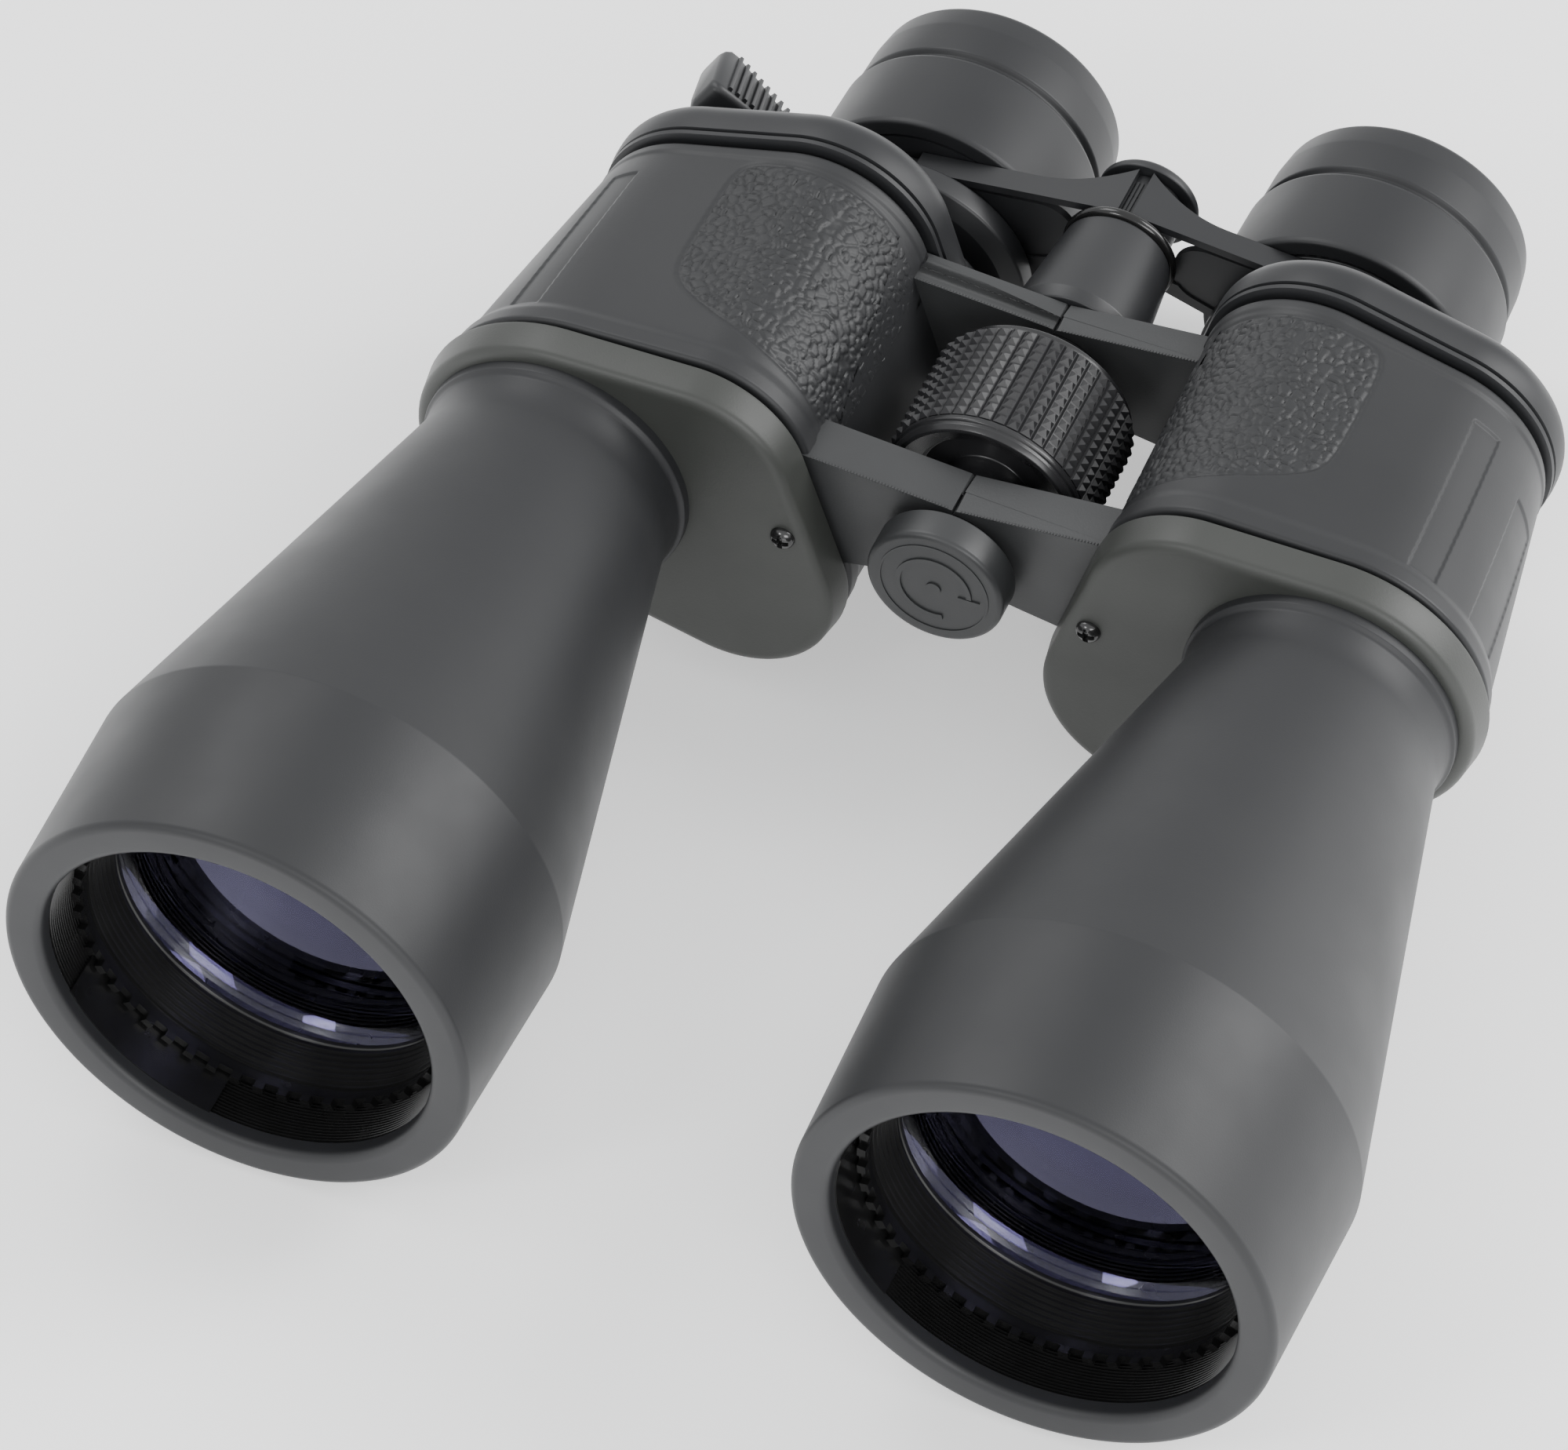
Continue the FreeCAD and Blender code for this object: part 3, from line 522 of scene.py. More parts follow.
def on_both(name, shape, look, body="half", replaced=None, **finish):
    """A right-hand shape as two pieces, the left one mirrored."""
    for side in SIDES:
        made = shape if side == "right" else mirrored(shape)
        nodes = [node + "_" + side for node in (replaced or [name])]
        piece(name + "_" + side + "_look", made, side + "_" + body, look, nodes, **finish)


def closed_loft(rings):
    """Skin through rings that ends where it began, like a tyre."""
    points, faces = loft(rings, False)
    count, last = len(rings[0]), (len(rings) - 1) * len(rings[0])
    faces += [(last + j, last + (j + 1) % count, (j + 1) % count, j) for j in range(count)]
    return points, faces


def circle_like(ring, axis, radius, y):
    """Circle whose points lie in the same directions from its axis as those of a ring."""
    made = []
    for x, _, z in ring:
        a = math.atan2(z - axis[1], x - axis[0])
        made.append((axis[0] + radius * math.cos(a), y, axis[1] + radius * math.sin(a)))
    return made


def housing_circles(y, inset):
    """The three circles of the prism housing's outline at y, moved in by inset."""
    part = (y - BODY_Y) / (REAR_Y - BODY_Y)
    circles = []
    for start, end, r0, r1 in zip(AXES, REAR_AXES, FRONT_RADII, REAR_RADII):
        x, z = (start[k] + (end[k] - start[k]) * part for k in (0, 1))
        circles.append((x, z, r0 + (r1 - r0) * part - inset))
    return circles


def cover_ring(axes, radii, y, inset):
    """Outline of a cover around the three light axes at y, moved in by inset."""
    return tangent_ring([(a[0], a[1], r - inset) for a, r in zip(axes, radii)], y, 40, 14)


# Objective ends ---------------------------------------------------------------------------------
def make_armour():
    """Rubber skin: rolled lip, hood, soft crease, long cone and the flare at the cover."""
    outline = [(MOUTH_R, 3.2), (MOUTH_R, 0.0, 1.5), (CREASE_R - 1.0, 0.0, 1.5),
               (CREASE_R, CREASE_Y, 2.5), (NECK_R, NECK_Y, 26.0), (NECK_R + 0.25, 121.6, 1.5),
               (NECK_R + 1.0, 122.3, 0.5), (NECK_R + 1.0, COVER_Y), (NECK_R - SKIN, COVER_Y),
               (NECK_R - SKIN, NECK_Y), (CREASE_R - SKIN, CREASE_Y), (CREASE_R - 2.66, 3.2)]
    on_both("barrel_armour", lathe(outline, OBJECTIVE, 224, steps=8), "armour")


def make_barrel():
    """Blackened barrel: threads that stop at a smooth flat patch, lens seat and baffle grooves."""
    thread = [(SEAT_R, CELL_Y[0])]
    turns = 15
    pitch = 9.3 / turns
    for i in range(turns):
        y = CELL_Y[0] - pitch * i
        thread += [(MOUTH_R + 0.75, y - pitch * 0.3), (MOUTH_R + 0.75, y - pitch * 0.45),
                   (MOUTH_R + 0.0, y - pitch * 0.85)]
    thread += [(MOUTH_R + 0.1, 2.9), (CREASE_R - 3.0, 2.9), (CREASE_R - 3.0, CELL_Y[0])]
    patch = [(SEAT_R, CELL_Y[0]), (SEAT_R, 11.9, 0.3), (MOUTH_R - 0.25, 11.2, 0.6),
             (MOUTH_R - 0.25, 2.9), (CREASE_R - 3.0, 2.9), (CREASE_R - 3.0, CELL_Y[0])]
    tube = [(CREASE_R - 3.0, CELL_Y[0]), (CREASE_R - SKIN - 0.1, CREASE_Y),
            (NECK_R - SKIN - 0.1, NECK_Y), (NECK_R - SKIN - 0.1, BODY_Y),
            (NECK_R - 3.2, BODY_Y), (NECK_R - 3.2, 112.0)]
    grooves = 22
    for i in range(grooves, -1, -1):
        r = NECK_R - 0.6 + (35.2 - NECK_R) * (1 - i / grooves)
        y = 104.0 - 62.0 * (1 - i / grooves)
        tube += [(r - 1.2, y + 1.3), (r - 1.2, y + 0.6), (r, y + 0.6)]
    tube += [(LENS_R - 0.6, 36.0), (LENS_R - 0.6, SEAT_END_Y), (SEAT_R, SEAT_END_Y),
             (SEAT_R, CELL_Y[0])]
    whole = 2 * math.pi
    for side in SIDES:
        low, high = PATCH_ARC[side]
        shape = merged(lathe(thread, OBJECTIVE, 150, (high, low + whole)),
                       lathe(patch, OBJECTIVE, 40, (low, high)),
                       lathe(tube, OBJECTIVE, 160))
        if side == "left":
            points, faces = shape
            shape = [(x - 2 * OBJECTIVE[0], y, z) for x, y, z in points], faces
        piece("objective_barrel_" + side + "_look", shape, side + "_half", "inner",
              ["objective_barrel_" + side])


def make_lens_cell():
    """Ring with stepped ribs in front of the lens."""
    outline = [(SEAT_R - 0.02, CELL_Y[0]), (SEAT_R - 0.02, CELL_Y[1]), (LENS_R - 0.2, CELL_Y[1]),
               (LENS_R - 0.2, 20.7, 0.2)]
    ribs = 8
    for i in range(ribs):
        y = 20.5 - i
        r = LENS_R + 0.1 + 0.26 * i
        outline += [(r, y, 0.1), (r, y - 0.62, 0.1), (r - 0.3, y - 0.72), (r - 0.3, y - 0.95)]
    outline += [(LENS_R + 2.1, CELL_Y[0])]
    on_both("lens_cell", lathe(outline, OBJECTIVE, 160, steps=2), "cell")


def dome(radius, edge, sag, rows=10):
    """Points of a spherical face from its edge to its middle; sag is towards -Y."""
    sphere = (radius ** 2 + sag ** 2) / (2 * sag)
    points = []
    for i in range(rows):
        r = radius * (1 - i / rows)
        depth = sphere - math.copysign(math.sqrt(sphere ** 2 - r ** 2), sphere)
        points.append((r, edge - sag + depth))
    return points + [(0.0, edge - sag)]


def make_lens():
    """Cemented objective pair with its coated faces."""
    face = dome(LENS_R + 1.6, 22.0, 3.6)
    back = [(r, y) for r, y in reversed(dome(LENS_R + 1.6, 32.6, -0.6))]
    on_both("objective_lens", lathe(face + back, OBJECTIVE, 128), "lens", "half",
            ["crown_lens", "flint_lens"])


# Prism housings ---------------------------------------------------------------------------------
def make_front_cover():
    """Front cover: flat sanded face, rounded shoulder and a satin band."""
    def ring(y, inset):
        return cover_ring(AXES, (26.3, 19.4, 19.2), y, inset)
    hole = NECK_R - SKIN
    rings = [ring(COVER_Y, 2.9)]
    shoulder = 1.7
    turns = 7
    for i in range(1, turns + 1):
        a = math.radians(90.0 * i / turns)
        rings.append(ring(COVER_Y + shoulder * (1 - math.cos(a)),
                          2.9 - 2.2 * math.sin(a)))
    rings += [ring(BODY_Y - 0.9, 0.05), ring(BODY_Y - 0.35, 0.1), ring(BODY_Y, 0.5)]
    rings.append(circle_like(rings[-1], OBJECTIVE, hole, BODY_Y))
    rings.append(circle_like(rings[0], OBJECTIVE, hole, COVER_Y))
    on_both("front_cover", closed_loft(rings), "cover", sharp=24)


def arm_outlines(cleared):
    """(x, z) outline of a right-hand hinge arm; cleared leaves room for the other knuckle."""
    lean = ARM_TOP * math.tan(math.radians(ARM_TILT))
    gap = 0.3
    outline = [(gap + lean, ARM_TOP, 0), (33.0, ARM_TOP, 0), (33.0, -17.0, 0), (25.0, -16.6, 0),
               (19.0, -12.2, 9.0), (11.0, -9.9, 6.0)]
    if not cleared:
        return rounded(outline + [(6.4, -7.0, 0), (gap, 0.0, 0)], 8)
    outline = rounded(outline + [(6.9, -8.6, 0)], 8)
    cut = KNUCKLE_R + 0.35
    turns = 14
    for i in range(turns + 1):
        a = math.radians(-52.0 + 139.0 * i / turns)
        outline.append((cut * math.cos(a), cut * math.sin(a)))
    return outline


def disc(radius, axis=HINGE, segments=72):
    """(x, z) outline of a circle."""
    return [(axis[0] + radius * math.cos(2 * math.pi * i / segments),
             axis[1] + radius * math.sin(2 * math.pi * i / segments)) for i in range(segments)]


def hinge_arm(y0, y1, own_front):
    """Hinge arm of the right half whose own knuckle is the front or the back lap."""
    middle = (y0 + y1) / 2
    own = (y0, middle - 0.08) if own_front else (middle + 0.08, y1)
    rest = (middle - 0.08, y1) if own_front else (y0, middle + 0.08)
    return merged(extruded(arm_outlines(False), *own), extruded(disc(KNUCKLE_R), *own),
                  extruded(arm_outlines(True), *rest))


def edge_beads(y):
    """Row of tiny beads along the front top edge of an arm."""
    shapes = []
    count = 44
    for i in range(count):
        x = 2.2 + 23.6 * i / (count - 1)
        shapes.append(block(x - 0.16, x + 0.16, y - 0.05, y + 0.45, ARM_TOP - 0.25, ARM_TOP + 0.16))
    return merged(*shapes)


def make_housings():
    """Housing castings with their hinge arms; the left half has the front laps."""
    for side in SIDES:
        left = side == "left"
        stations = ((BODY_Y, 0.5), (BODY_Y + 0.5, 0.0), (REAR_Y - 0.5, 0.0), (REAR_Y, 0.5))
        shell = loft([tangent_ring(housing_circles(y, WRAP_T + inset), y)
                      for y, inset in stations])
        arms = merged(hinge_arm(*FRONT_ARM, left), hinge_arm(*REAR_ARM, left),
                      edge_beads(FRONT_ARM[0]), edge_beads(REAR_ARM[0]))
        shape = merged(shell, turned_about(arms, -ARM_TILT))
        piece("prism_housing_" + side + "_look", mirrored(shape) if left else shape,
              side + "_half", "casting", ["prism_housing_" + side], bevel=0.35, steps=2)


# Grip wrap --------------------------------------------------------------------------------------
GRAIN_PITCH = 1.9           # distance between leather pebbles
GRAIN_DEPTH = 0.36
PANEL_DEPTH = 0.28
PANELS = ((31.0, 36.5, 137.0, 173.5), (45.0, 54.0, 137.0, 168.0))
PATCH = ((13.0, 178.5), (13.0, 139.5), (-5.0, 139.0), (-15.0, 133.6), (-31.0, 133.6),
         (-31.0, 176.0), (-14.0, 178.5))


def smooth_step(value, low, high):
    """0 below low, 1 above high, with a smooth rise between."""
    t = np.clip((value - low) / (high - low), 0.0, 1.0)
    return t * t * (3.0 - 2.0 * t)


def inside_patch(s, y, corner=6.5):
    """How far each (s, y) lies inside the rounded leather patch, negative outside."""
    points = np.array(PATCH)
    middle = points.mean(axis=0)
    nearest = np.full(s.shape, 1e9)
    for i in range(len(points)):
        a, b = points[i], points[(i + 1) % len(points)]
        normal = np.array((b[1] - a[1], a[0] - b[0]))
        normal = normal / np.linalg.norm(normal)
        if np.dot(middle - a, normal) < 0:
            normal = -normal
        depth = (s - a[0]) * normal[0] + (y - a[1]) * normal[1]
        # a smooth minimum rounds each corner
        nearest = -corner * np.logaddexp(-nearest / corner * 3.0, -depth / corner * 3.0) / 3.0
    return nearest


def pebbles(s, y, seed):
    """Height from 0 to 1 of an irregular leather grain: domed pebbles with thin grooves."""
    random = np.random.default_rng(seed)
    columns = int(56 / GRAIN_PITCH)
    rows = int(54 / GRAIN_PITCH)
    grid = np.stack(np.meshgrid(np.arange(columns), np.arange(rows)), axis=-1).reshape(-1, 2)
    seeds = (grid + random.uniform(-0.1, 1.1, grid.shape)) * GRAIN_PITCH
    seeds += np.array((-36.0, 130.0))
    tall = random.uniform(0.65, 1.0, len(seeds))
    stretch = random.uniform(0.75, 1.3, len(seeds))
    nearest = np.full(s.shape, 1e9)
    second = np.full(s.shape, 1e9)
    height = np.zeros(s.shape)
    for (cs, cy), top, wide in zip(seeds, tall, stretch):
        distance = np.hypot((s - cs) * wide, (y - cy) / wide)
        closer = distance < nearest
        second = np.where(closer, nearest, np.minimum(second, distance))
        height = np.where(closer, top, height)
        nearest = np.where(closer, distance, nearest)
    edge = smooth_step(second - nearest, 0.02, 0.5)
    return edge * height


def wrap_relief(s, y, seed):
    """Outward height of the grip rubber's details, in millimetres."""
    depth = inside_patch(s, y)
    leather = smooth_step(depth, 0.0, 0.5)
    height = leather * (pebbles(s, y, seed) * GRAIN_DEPTH - 0.24)
    height -= 0.3 * np.exp(-((depth + 0.1) / 0.32) ** 2)
    for s0, s1, y0, y1 in PANELS:
        slant = (y - 155.0) * 0.03
        side = np.minimum(s - s0 + slant, s1 - s - slant)
        inner = np.minimum(side, np.minimum(y - y0, y1 - y))
        height -= PANEL_DEPTH * smooth_step(inner, -0.2, 0.25)
    lip = smooth_step(y, WRAP_FRONT, WRAP_FRONT + 0.8) - smooth_step(y, WRAP_FRONT + 3.2,
                                                                    WRAP_FRONT + 5.4)
    rear_lip = smooth_step(y, WRAP_BACK - 3.0, WRAP_BACK - 2.2)
    return height + 0.42 * lip + 0.25 * rear_lip - 0.42 + 0.12


def wrap_columns(length):
    """Places around the housing: close together at details, wide apart on plain rubber."""
    places = list(np.arange(-31.8, 14.2, 0.31))
    for s0, s1, _, _ in PANELS:
        for edge in (s0, s1):
            places += list(edge + np.arange(-1.6, 1.7, 0.2))
    places += list(np.arange(14.5, length - 32.0, 1.6))
    places = sorted(places)
    kept = [places[0]]
    for place in places[1:]:
        if place - kept[-1] > 0.12:
            kept.append(place)
    return np.array(kept)


def wrap_shape(seed):
    """Rubber grip of the right-hand housing as a closed sleeve."""
    fine = np.arange(WRAP_FRONT + 1.2, WRAP_BACK - 1.0, 0.31)
    edge = np.array((0.0, 0.12, 0.3, 0.6, 0.9))
    stations = np.concatenate((WRAP_FRONT + edge, fine, WRAP_BACK - edge[::-1]))
    columns = None
    outer, inner = [], []
    for y in stations:
        ring = np.array(tangent_ring(housing_circles(y, 0.0), y, 160, 120))[:, (0, 2)]
        steps = np.linalg.norm(np.roll(ring, -1, axis=0) - ring, axis=1)
        along = np.concatenate(((0.0,), np.cumsum(steps)))
        looped = np.vstack((ring, ring[:1]))
        dx, dz = ring[:, 0] - MIDDLE[0], ring[:, 1] - MIDDLE[1]
        top = np.argmin(np.hypot(dx, dz - np.hypot(dx, dz).min()))
        if columns is None:
            columns = wrap_columns(along[-1])
        at = (along[top] - columns) % along[-1]
        x = np.interp(at, along, looped[:, 0])
        z = np.interp(at, along, looped[:, 1])
        ahead = (at - 0.3) % along[-1]
        behind = (at + 0.3) % along[-1]
        tx = np.interp(ahead, along, looped[:, 0]) - np.interp(behind, along, looped[:, 0])
        tz = np.interp(ahead, along, looped[:, 1]) - np.interp(behind, along, looped[:, 1])
        size = np.hypot(tx, tz)
        rise = wrap_relief(columns, np.full(columns.shape, y), seed)
        nx, nz = -tz / size, tx / size
        ends = min(y - WRAP_FRONT, WRAP_BACK - y)
        roll = 0.9 - math.sqrt(max(0.0, 0.81 - (0.9 - min(ends, 0.9)) ** 2))
        outer.append([(a, y, b) for a, b in zip(x + nx * (rise - roll), z + nz * (rise - roll))])
        inner.append([(a, y, b) for a, b in zip(x - nx * WRAP_T, z - nz * WRAP_T)])
    return closed_loft(outer + [inner[-1], inner[0]])


def make_wraps():
    """Both grips; each has its own leather grain."""
    for side, seed in (("left", 3), ("right", 8)):
        shape = wrap_shape(seed)
        piece("grip_wrap_" + side + "_look", mirrored(shape) if side == "left" else shape,
              side + "_half", "wrap", ["grip_wrap_" + side], sharp=60)


def make_rear_cover():
    """Domed back cover with a step at its front edge."""
    def ring(y, inset):
        return cover_ring(REAR_AXES, [r + 0.9 for r in REAR_RADII], y, inset)
    rings = [ring(REAR_Y, 1.5), ring(REAR_Y, 1.0), ring(REAR_Y + 0.25, 0.3),
             ring(REAR_Y + 1.0, 0.2), ring(REAR_Y + 1.15, 0.75), ring(REAR_Y + 1.6, 0.8),
             ring(REAR_Y + 1.8, 0.2), ring(REAR_Y + 2.9, 0.0)]
    rounding = 5.6
    turns = 12
    for i in range(turns + 1):
        a = math.radians(90.0 * i / turns)
        rings.append(ring(BACK_Y - rounding * (1 - math.sin(a)), rounding * (1 - math.cos(a))))
    guide = radius_of("eyepiece_guide_right") - 4.9
    rings.append(circle_like(rings[-1], EYEPIECE, guide, BACK_Y))
    rings.append(circle_like(rings[0], EYEPIECE, guide, REAR_Y))
    on_both("rear_cover", closed_loft(rings), "eyecup", sharp=24)


def screw_head(spot, radius=2.15, height=1.5):
    """Pan head with a cross recess, as a fine height map on a round plate."""
    cells = 44
    rows = []
    for i in range(cells + 1):
        row = []
        for j in range(cells + 1):
            u, v = 2 * i / cells - 1, 2 * j / cells - 1
            # maps the square onto the disc
            x = radius * u * math.sqrt(1 - v * v / 2)
            z = radius * v * math.sqrt(1 - u * u / 2)
            r = math.hypot(x, z)
            top = height * math.sqrt(max(0.0, 1 - (r / radius) ** 2.6))
            cross = max(min(0.34 - abs(x), 1.35 - abs(z)), min(0.34 - abs(z), 1.35 - abs(x)))
            top -= 1.05 * min(max((cross + 0.1) / 0.16, 0.0), 1.0)
            row.append((spot[0] + x, COVER_Y - max(top, 0.0) - 0.02, spot[1] + z))
        rows.append(row)
    points = [p for row in rows for p in row]
    side = cells + 1
    faces = [(i * side + j, i * side + j + 1, (i + 1) * side + j + 1, (i + 1) * side + j)
             for i in range(cells) for j in range(cells)]
    border = ([(0, j) for j in range(cells)] + [(i, cells) for i in range(cells)]
              + [(cells, cells - j) for j in range(cells)] + [(cells - i, 0) for i in range(cells)])
    base = len(points)
    points += [(points[i * side + j][0], COVER_Y + 1.0, points[i * side + j][2]) for i, j in border]
    count = len(border)
    for k in range(count):
        (i0, j0), (i1, j1) = border[k], border[(k + 1) % count]
        faces.append((i0 * side + j0, i1 * side + j1, base + (k + 1) % count, base + k))
    faces.append(tuple(range(base, base + count)))
    return points, faces


def make_screws():
    """Two screws in each front cover."""
    on_both("cover_screws", merged(*[screw_head(spot) for spot in SCREW_SPOTS]), "screw", sharp=40)


# Centre parts -----------------------------------------------------------------------------------
def knurl(radius, y0, y1, columns, rows, height):
    """Sleeve of axial strips between thin grooves, each carrying a row of small pyramids."""
    points, faces = [], []
    groove = 0.1            # share of a column taken by the groove on each side
    flat = 0.04             # strip left bare beside and between the pyramids
    strip_r = radius - height
    groove_r = strip_r - 0.35
    shares = (0.0, groove, groove + flat, 1.0 - groove - flat, 1.0 - groove, 1.0)
    radii = (groove_r, strip_r, strip_r, strip_r, strip_r, groove_r)

    def add(column, share, y, r):
        a = 2 * math.pi * (column + share) / columns
        points.append((r * math.cos(a), y, r * math.sin(a)))
        return len(points) - 1

    for i in range(columns):
        for j in range(rows):
            low = y0 + (y1 - y0) * j / rows
            high = y0 + (y1 - y0) * (j + 1) / rows
            margin = (high - low) * 0.07
            levels = (low, low + margin, high - margin, high)
            grid = [[add(i, share, y, r) for share, r in zip(shares, radii)] for y in levels]
            for row in range(3):
                for k in range(5):
                    if row == 1 and k == 2:
                        continue
                    faces.append((grid[row][k], grid[row][k + 1], grid[row + 1][k + 1],
                                  grid[row + 1][k]))
            corners = (grid[1][2], grid[1][3], grid[2][3], grid[2][2])
            tips = [add(i, 0.5 + u * 0.07, (low + high) / 2 + v * (high - low) * 0.07, radius)
                    for u, v in ((-1, -1), (1, -1), (1, 1), (-1, 1))]
            for m in range(4):
                n = (m + 1) % 4
                faces.append((corners[m], corners[n], tips[n], tips[m]))
            faces.append(tuple(tips))
    core = lathe([(groove_r + 0.01, y0 - 0.05), (groove_r + 0.01, y1 + 0.05),
                  (groove_r - 1.4, y1 + 0.05), (groove_r - 1.4, y0 - 0.05)], HINGE, 90)
    return merged((points, faces), core)


def make_wheel():
    """Focus wheel: bright front ring, sloping chamfer, dark recess and a sleeve of pyramids."""
    front, back = GRIP_FRONT - 2.8, GRIP_BACK + 1.6
    outline = [(HUB_BORE_R, HUB_Y[0]), (HUB_R, HUB_Y[0], 0.4), (HUB_R, front + 3.2, 0.5),
               (11.6, front + 3.2, 0.3), (12.2, front + 2.1, 0.2), (15.4, front + 0.15, 0.3),
               (GRIP_R - 1.6, front + 0.1, 0.3),
               (GRIP_R - 1.0, front + 0.9, 0.4), (GRIP_R - 1.0, front + 1.5, 0.1),
               (GRIP_R - 0.55, front + 1.7, 0.3), (GRIP_R - 0.55, GRIP_FRONT - 0.1, 0.2),
               (15.0, GRIP_FRONT), (15.0, GRIP_BACK), (GRIP_R - 0.9, GRIP_BACK, 0.2),
               (GRIP_R - 0.9, back - 0.4, 0.5), (15.8, back, 0.4), (HUB_R, back, 0.4),
               (HUB_R, HUB_Y[1]),
               (SHAFT_R + 0.05, HUB_Y[1]), (SHAFT_R + 0.05, HUB_STEP_Y), (HUB_BORE_R, HUB_STEP_Y)]
    piece("focus_hub_look", lathe(outline, HINGE, 144, steps=4), "focus_wheel",
          "black_metal", ["focus_hub"])
    piece("focus_grip_look", knurl(GRIP_R + 0.15, GRIP_FRONT, GRIP_BACK, 45, 11, 0.7),
          "focus_wheel", "grip", ["focus_grip"], sharp=10)


def stroke(radius, start, end, width, y0, y1, steps=30):
    """Curved bar on the cap's face, from one angle to another, in degrees."""
    inner, outer = [], []
    for i in range(steps + 1):
        a = math.radians(start + (end - start) * i / steps)
        for r, row in ((radius - width / 2, inner), (radius + width / 2, outer)):
            row.append((r * math.cos(a), r * math.sin(a)))
    return extruded(inner + outer[::-1], y0, y1)


def make_cap():
    """Screw cap of the tripod socket, with a plain turning-arrow mark."""
    outline = [(0.0, CAP_FRONT), (CAP_R, CAP_FRONT, 1.1), (CAP_R, CAP_BACK, 0.35),
               (6.6, CAP_BACK), (6.6, CAP_FRONT + 1.8), (0.0, CAP_FRONT + 1.8)]
    low, high = CAP_FRONT - 0.28, CAP_FRONT + 0.4
    mark_r = 6.2
    arrow = [(mark_r + 1.9, -0.2), (mark_r - 1.9, -0.2), (mark_r, -3.2)]
    mark = merged(stroke(mark_r, 0.0, 285.0, 0.9, low, high),
                  extruded(arrow, low, high), extruded(disc(1.3, HINGE, 32), low, high))
    ridge = stroke(9.4, 0.0, 359.9, 0.35, low + 0.12, high, 90)
    points, faces = merged(lathe(outline, HINGE, 128, steps=8), mark, ridge)
    piece("tripod_cap_look", (points, faces), "tripod_cap", "cap", ["tripod_cap"],
          sharp=30)


def make_centre_tube():
    """Tapered focus tube, its glossy seal and the shaft's cap."""
    tube = [(SHAFT_R + 0.1, TUBE_FRONT), (5.5, TUBE_FRONT), (5.5, 182.0), (10.9, 182.0, 0.5),
            (11.6, 184.4, 0.8), (9.6, TUBE_BACK - 0.6, 0.4), (9.1, TUBE_BACK),
            (SHAFT_R + 0.1, TUBE_BACK)]
    piece("focus_tube_look", lathe(tube, HINGE, 96), "left_half", "plastic",
          ["focus_tube"])
    seal_front, seal_back = span("dust_seal", "y")
    seal = [(SHAFT_R + 0.3, seal_front), (10.1, seal_front, 0.9), (10.1, seal_back, 0.9),
            (SHAFT_R + 0.3, seal_back)]
    piece("dust_seal_look", lathe(seal, HINGE, 96), "left_half", "seal", ["dust_seal"])
    cap_front, cap_back = span("end_cap", "y")
    cap_r = radius_of("end_cap")
    cap = [(0.0, cap_back), (cap_r - 2.4, cap_back, 0.6), (cap_r, cap_back - 1.6, 1.2),
           (cap_r, cap_front, 0.3), (SHAFT_R, cap_front), (SHAFT_R, cap_front + 0.8),
           (0.0, cap_front + 0.8)]
    piece("end_cap_look", lathe(cap, HINGE, 96), "focus_carriage", "plastic",
          ["end_cap"])


# Eyepieces --------------------------------------------------------------------------------------
def make_eyecups():
    """Rubber eyecups: front band, double groove, back band and a soft rim."""
    y0, back = CUP_Y, BACK_END
    outline = [(21.3, y0), (CUP_R - 0.3, y0, 0.7), (CUP_R, y0 + 1.0, 2.0),
               (CUP_R - 0.5, y0 + 17.6, 1.2),
               (CUP_R - 1.5, y0 + 18.5, 0.5), (CUP_R - 2.0, y0 + 18.9, 0.3),
               (CUP_R - 2.0, y0 + 19.5, 0.3), (CUP_R - 1.15, y0 + 20.1, 0.7),
               (CUP_R - 1.4, y0 + 27.0, 6.0), (CUP_R - 2.2, back, 1.6), (17.4, back, 0.9),
               (16.6, y0 + 25.4), (20.0, y0 + 25.4), (20.0, y0 + 5.0), (21.3, y0 + 5.0)]
    shape = lathe(outline, EYEPIECE, 160, steps=6)
    for side in SIDES:
        body = "left_eyepiece" if side == "left" else "right_ocular"
        piece("eyecup_" + side + "_look", mirrored(shape) if side == "left" else shape, body,
              "eyecup", ["eyecup_" + side])


def make_guides():
    """Guide flanges behind the covers and the zoom rings."""
    low, high = span("eyepiece_guide_right", "y")
    flange = radius_of("eyepiece_guide_right")
    outline = [(TUBE_R + 0.05, low), (13.5, low), (13.5, BACK_Y), (flange, BACK_Y, 0.5),
               (flange, BACK_Y + 2.4, 0.8), (flange - 1.9, high, 0.5), (TUBE_R + 0.05, high)]
    on_both("eyepiece_guide", lathe(outline, EYEPIECE, 120), "plastic")
    ring = [(TUBE_R + 0.05, RING_FRONT), (18.4, RING_FRONT, 0.4), (RING_R, RING_FRONT + 1.6, 0.7),
            (RING_R, RING_BACK, 0.6), (TUBE_R + 0.05, RING_BACK)]
    on_both("zoom_ring", lathe(ring, EYEPIECE, 128), "plastic", "zoom_ring")


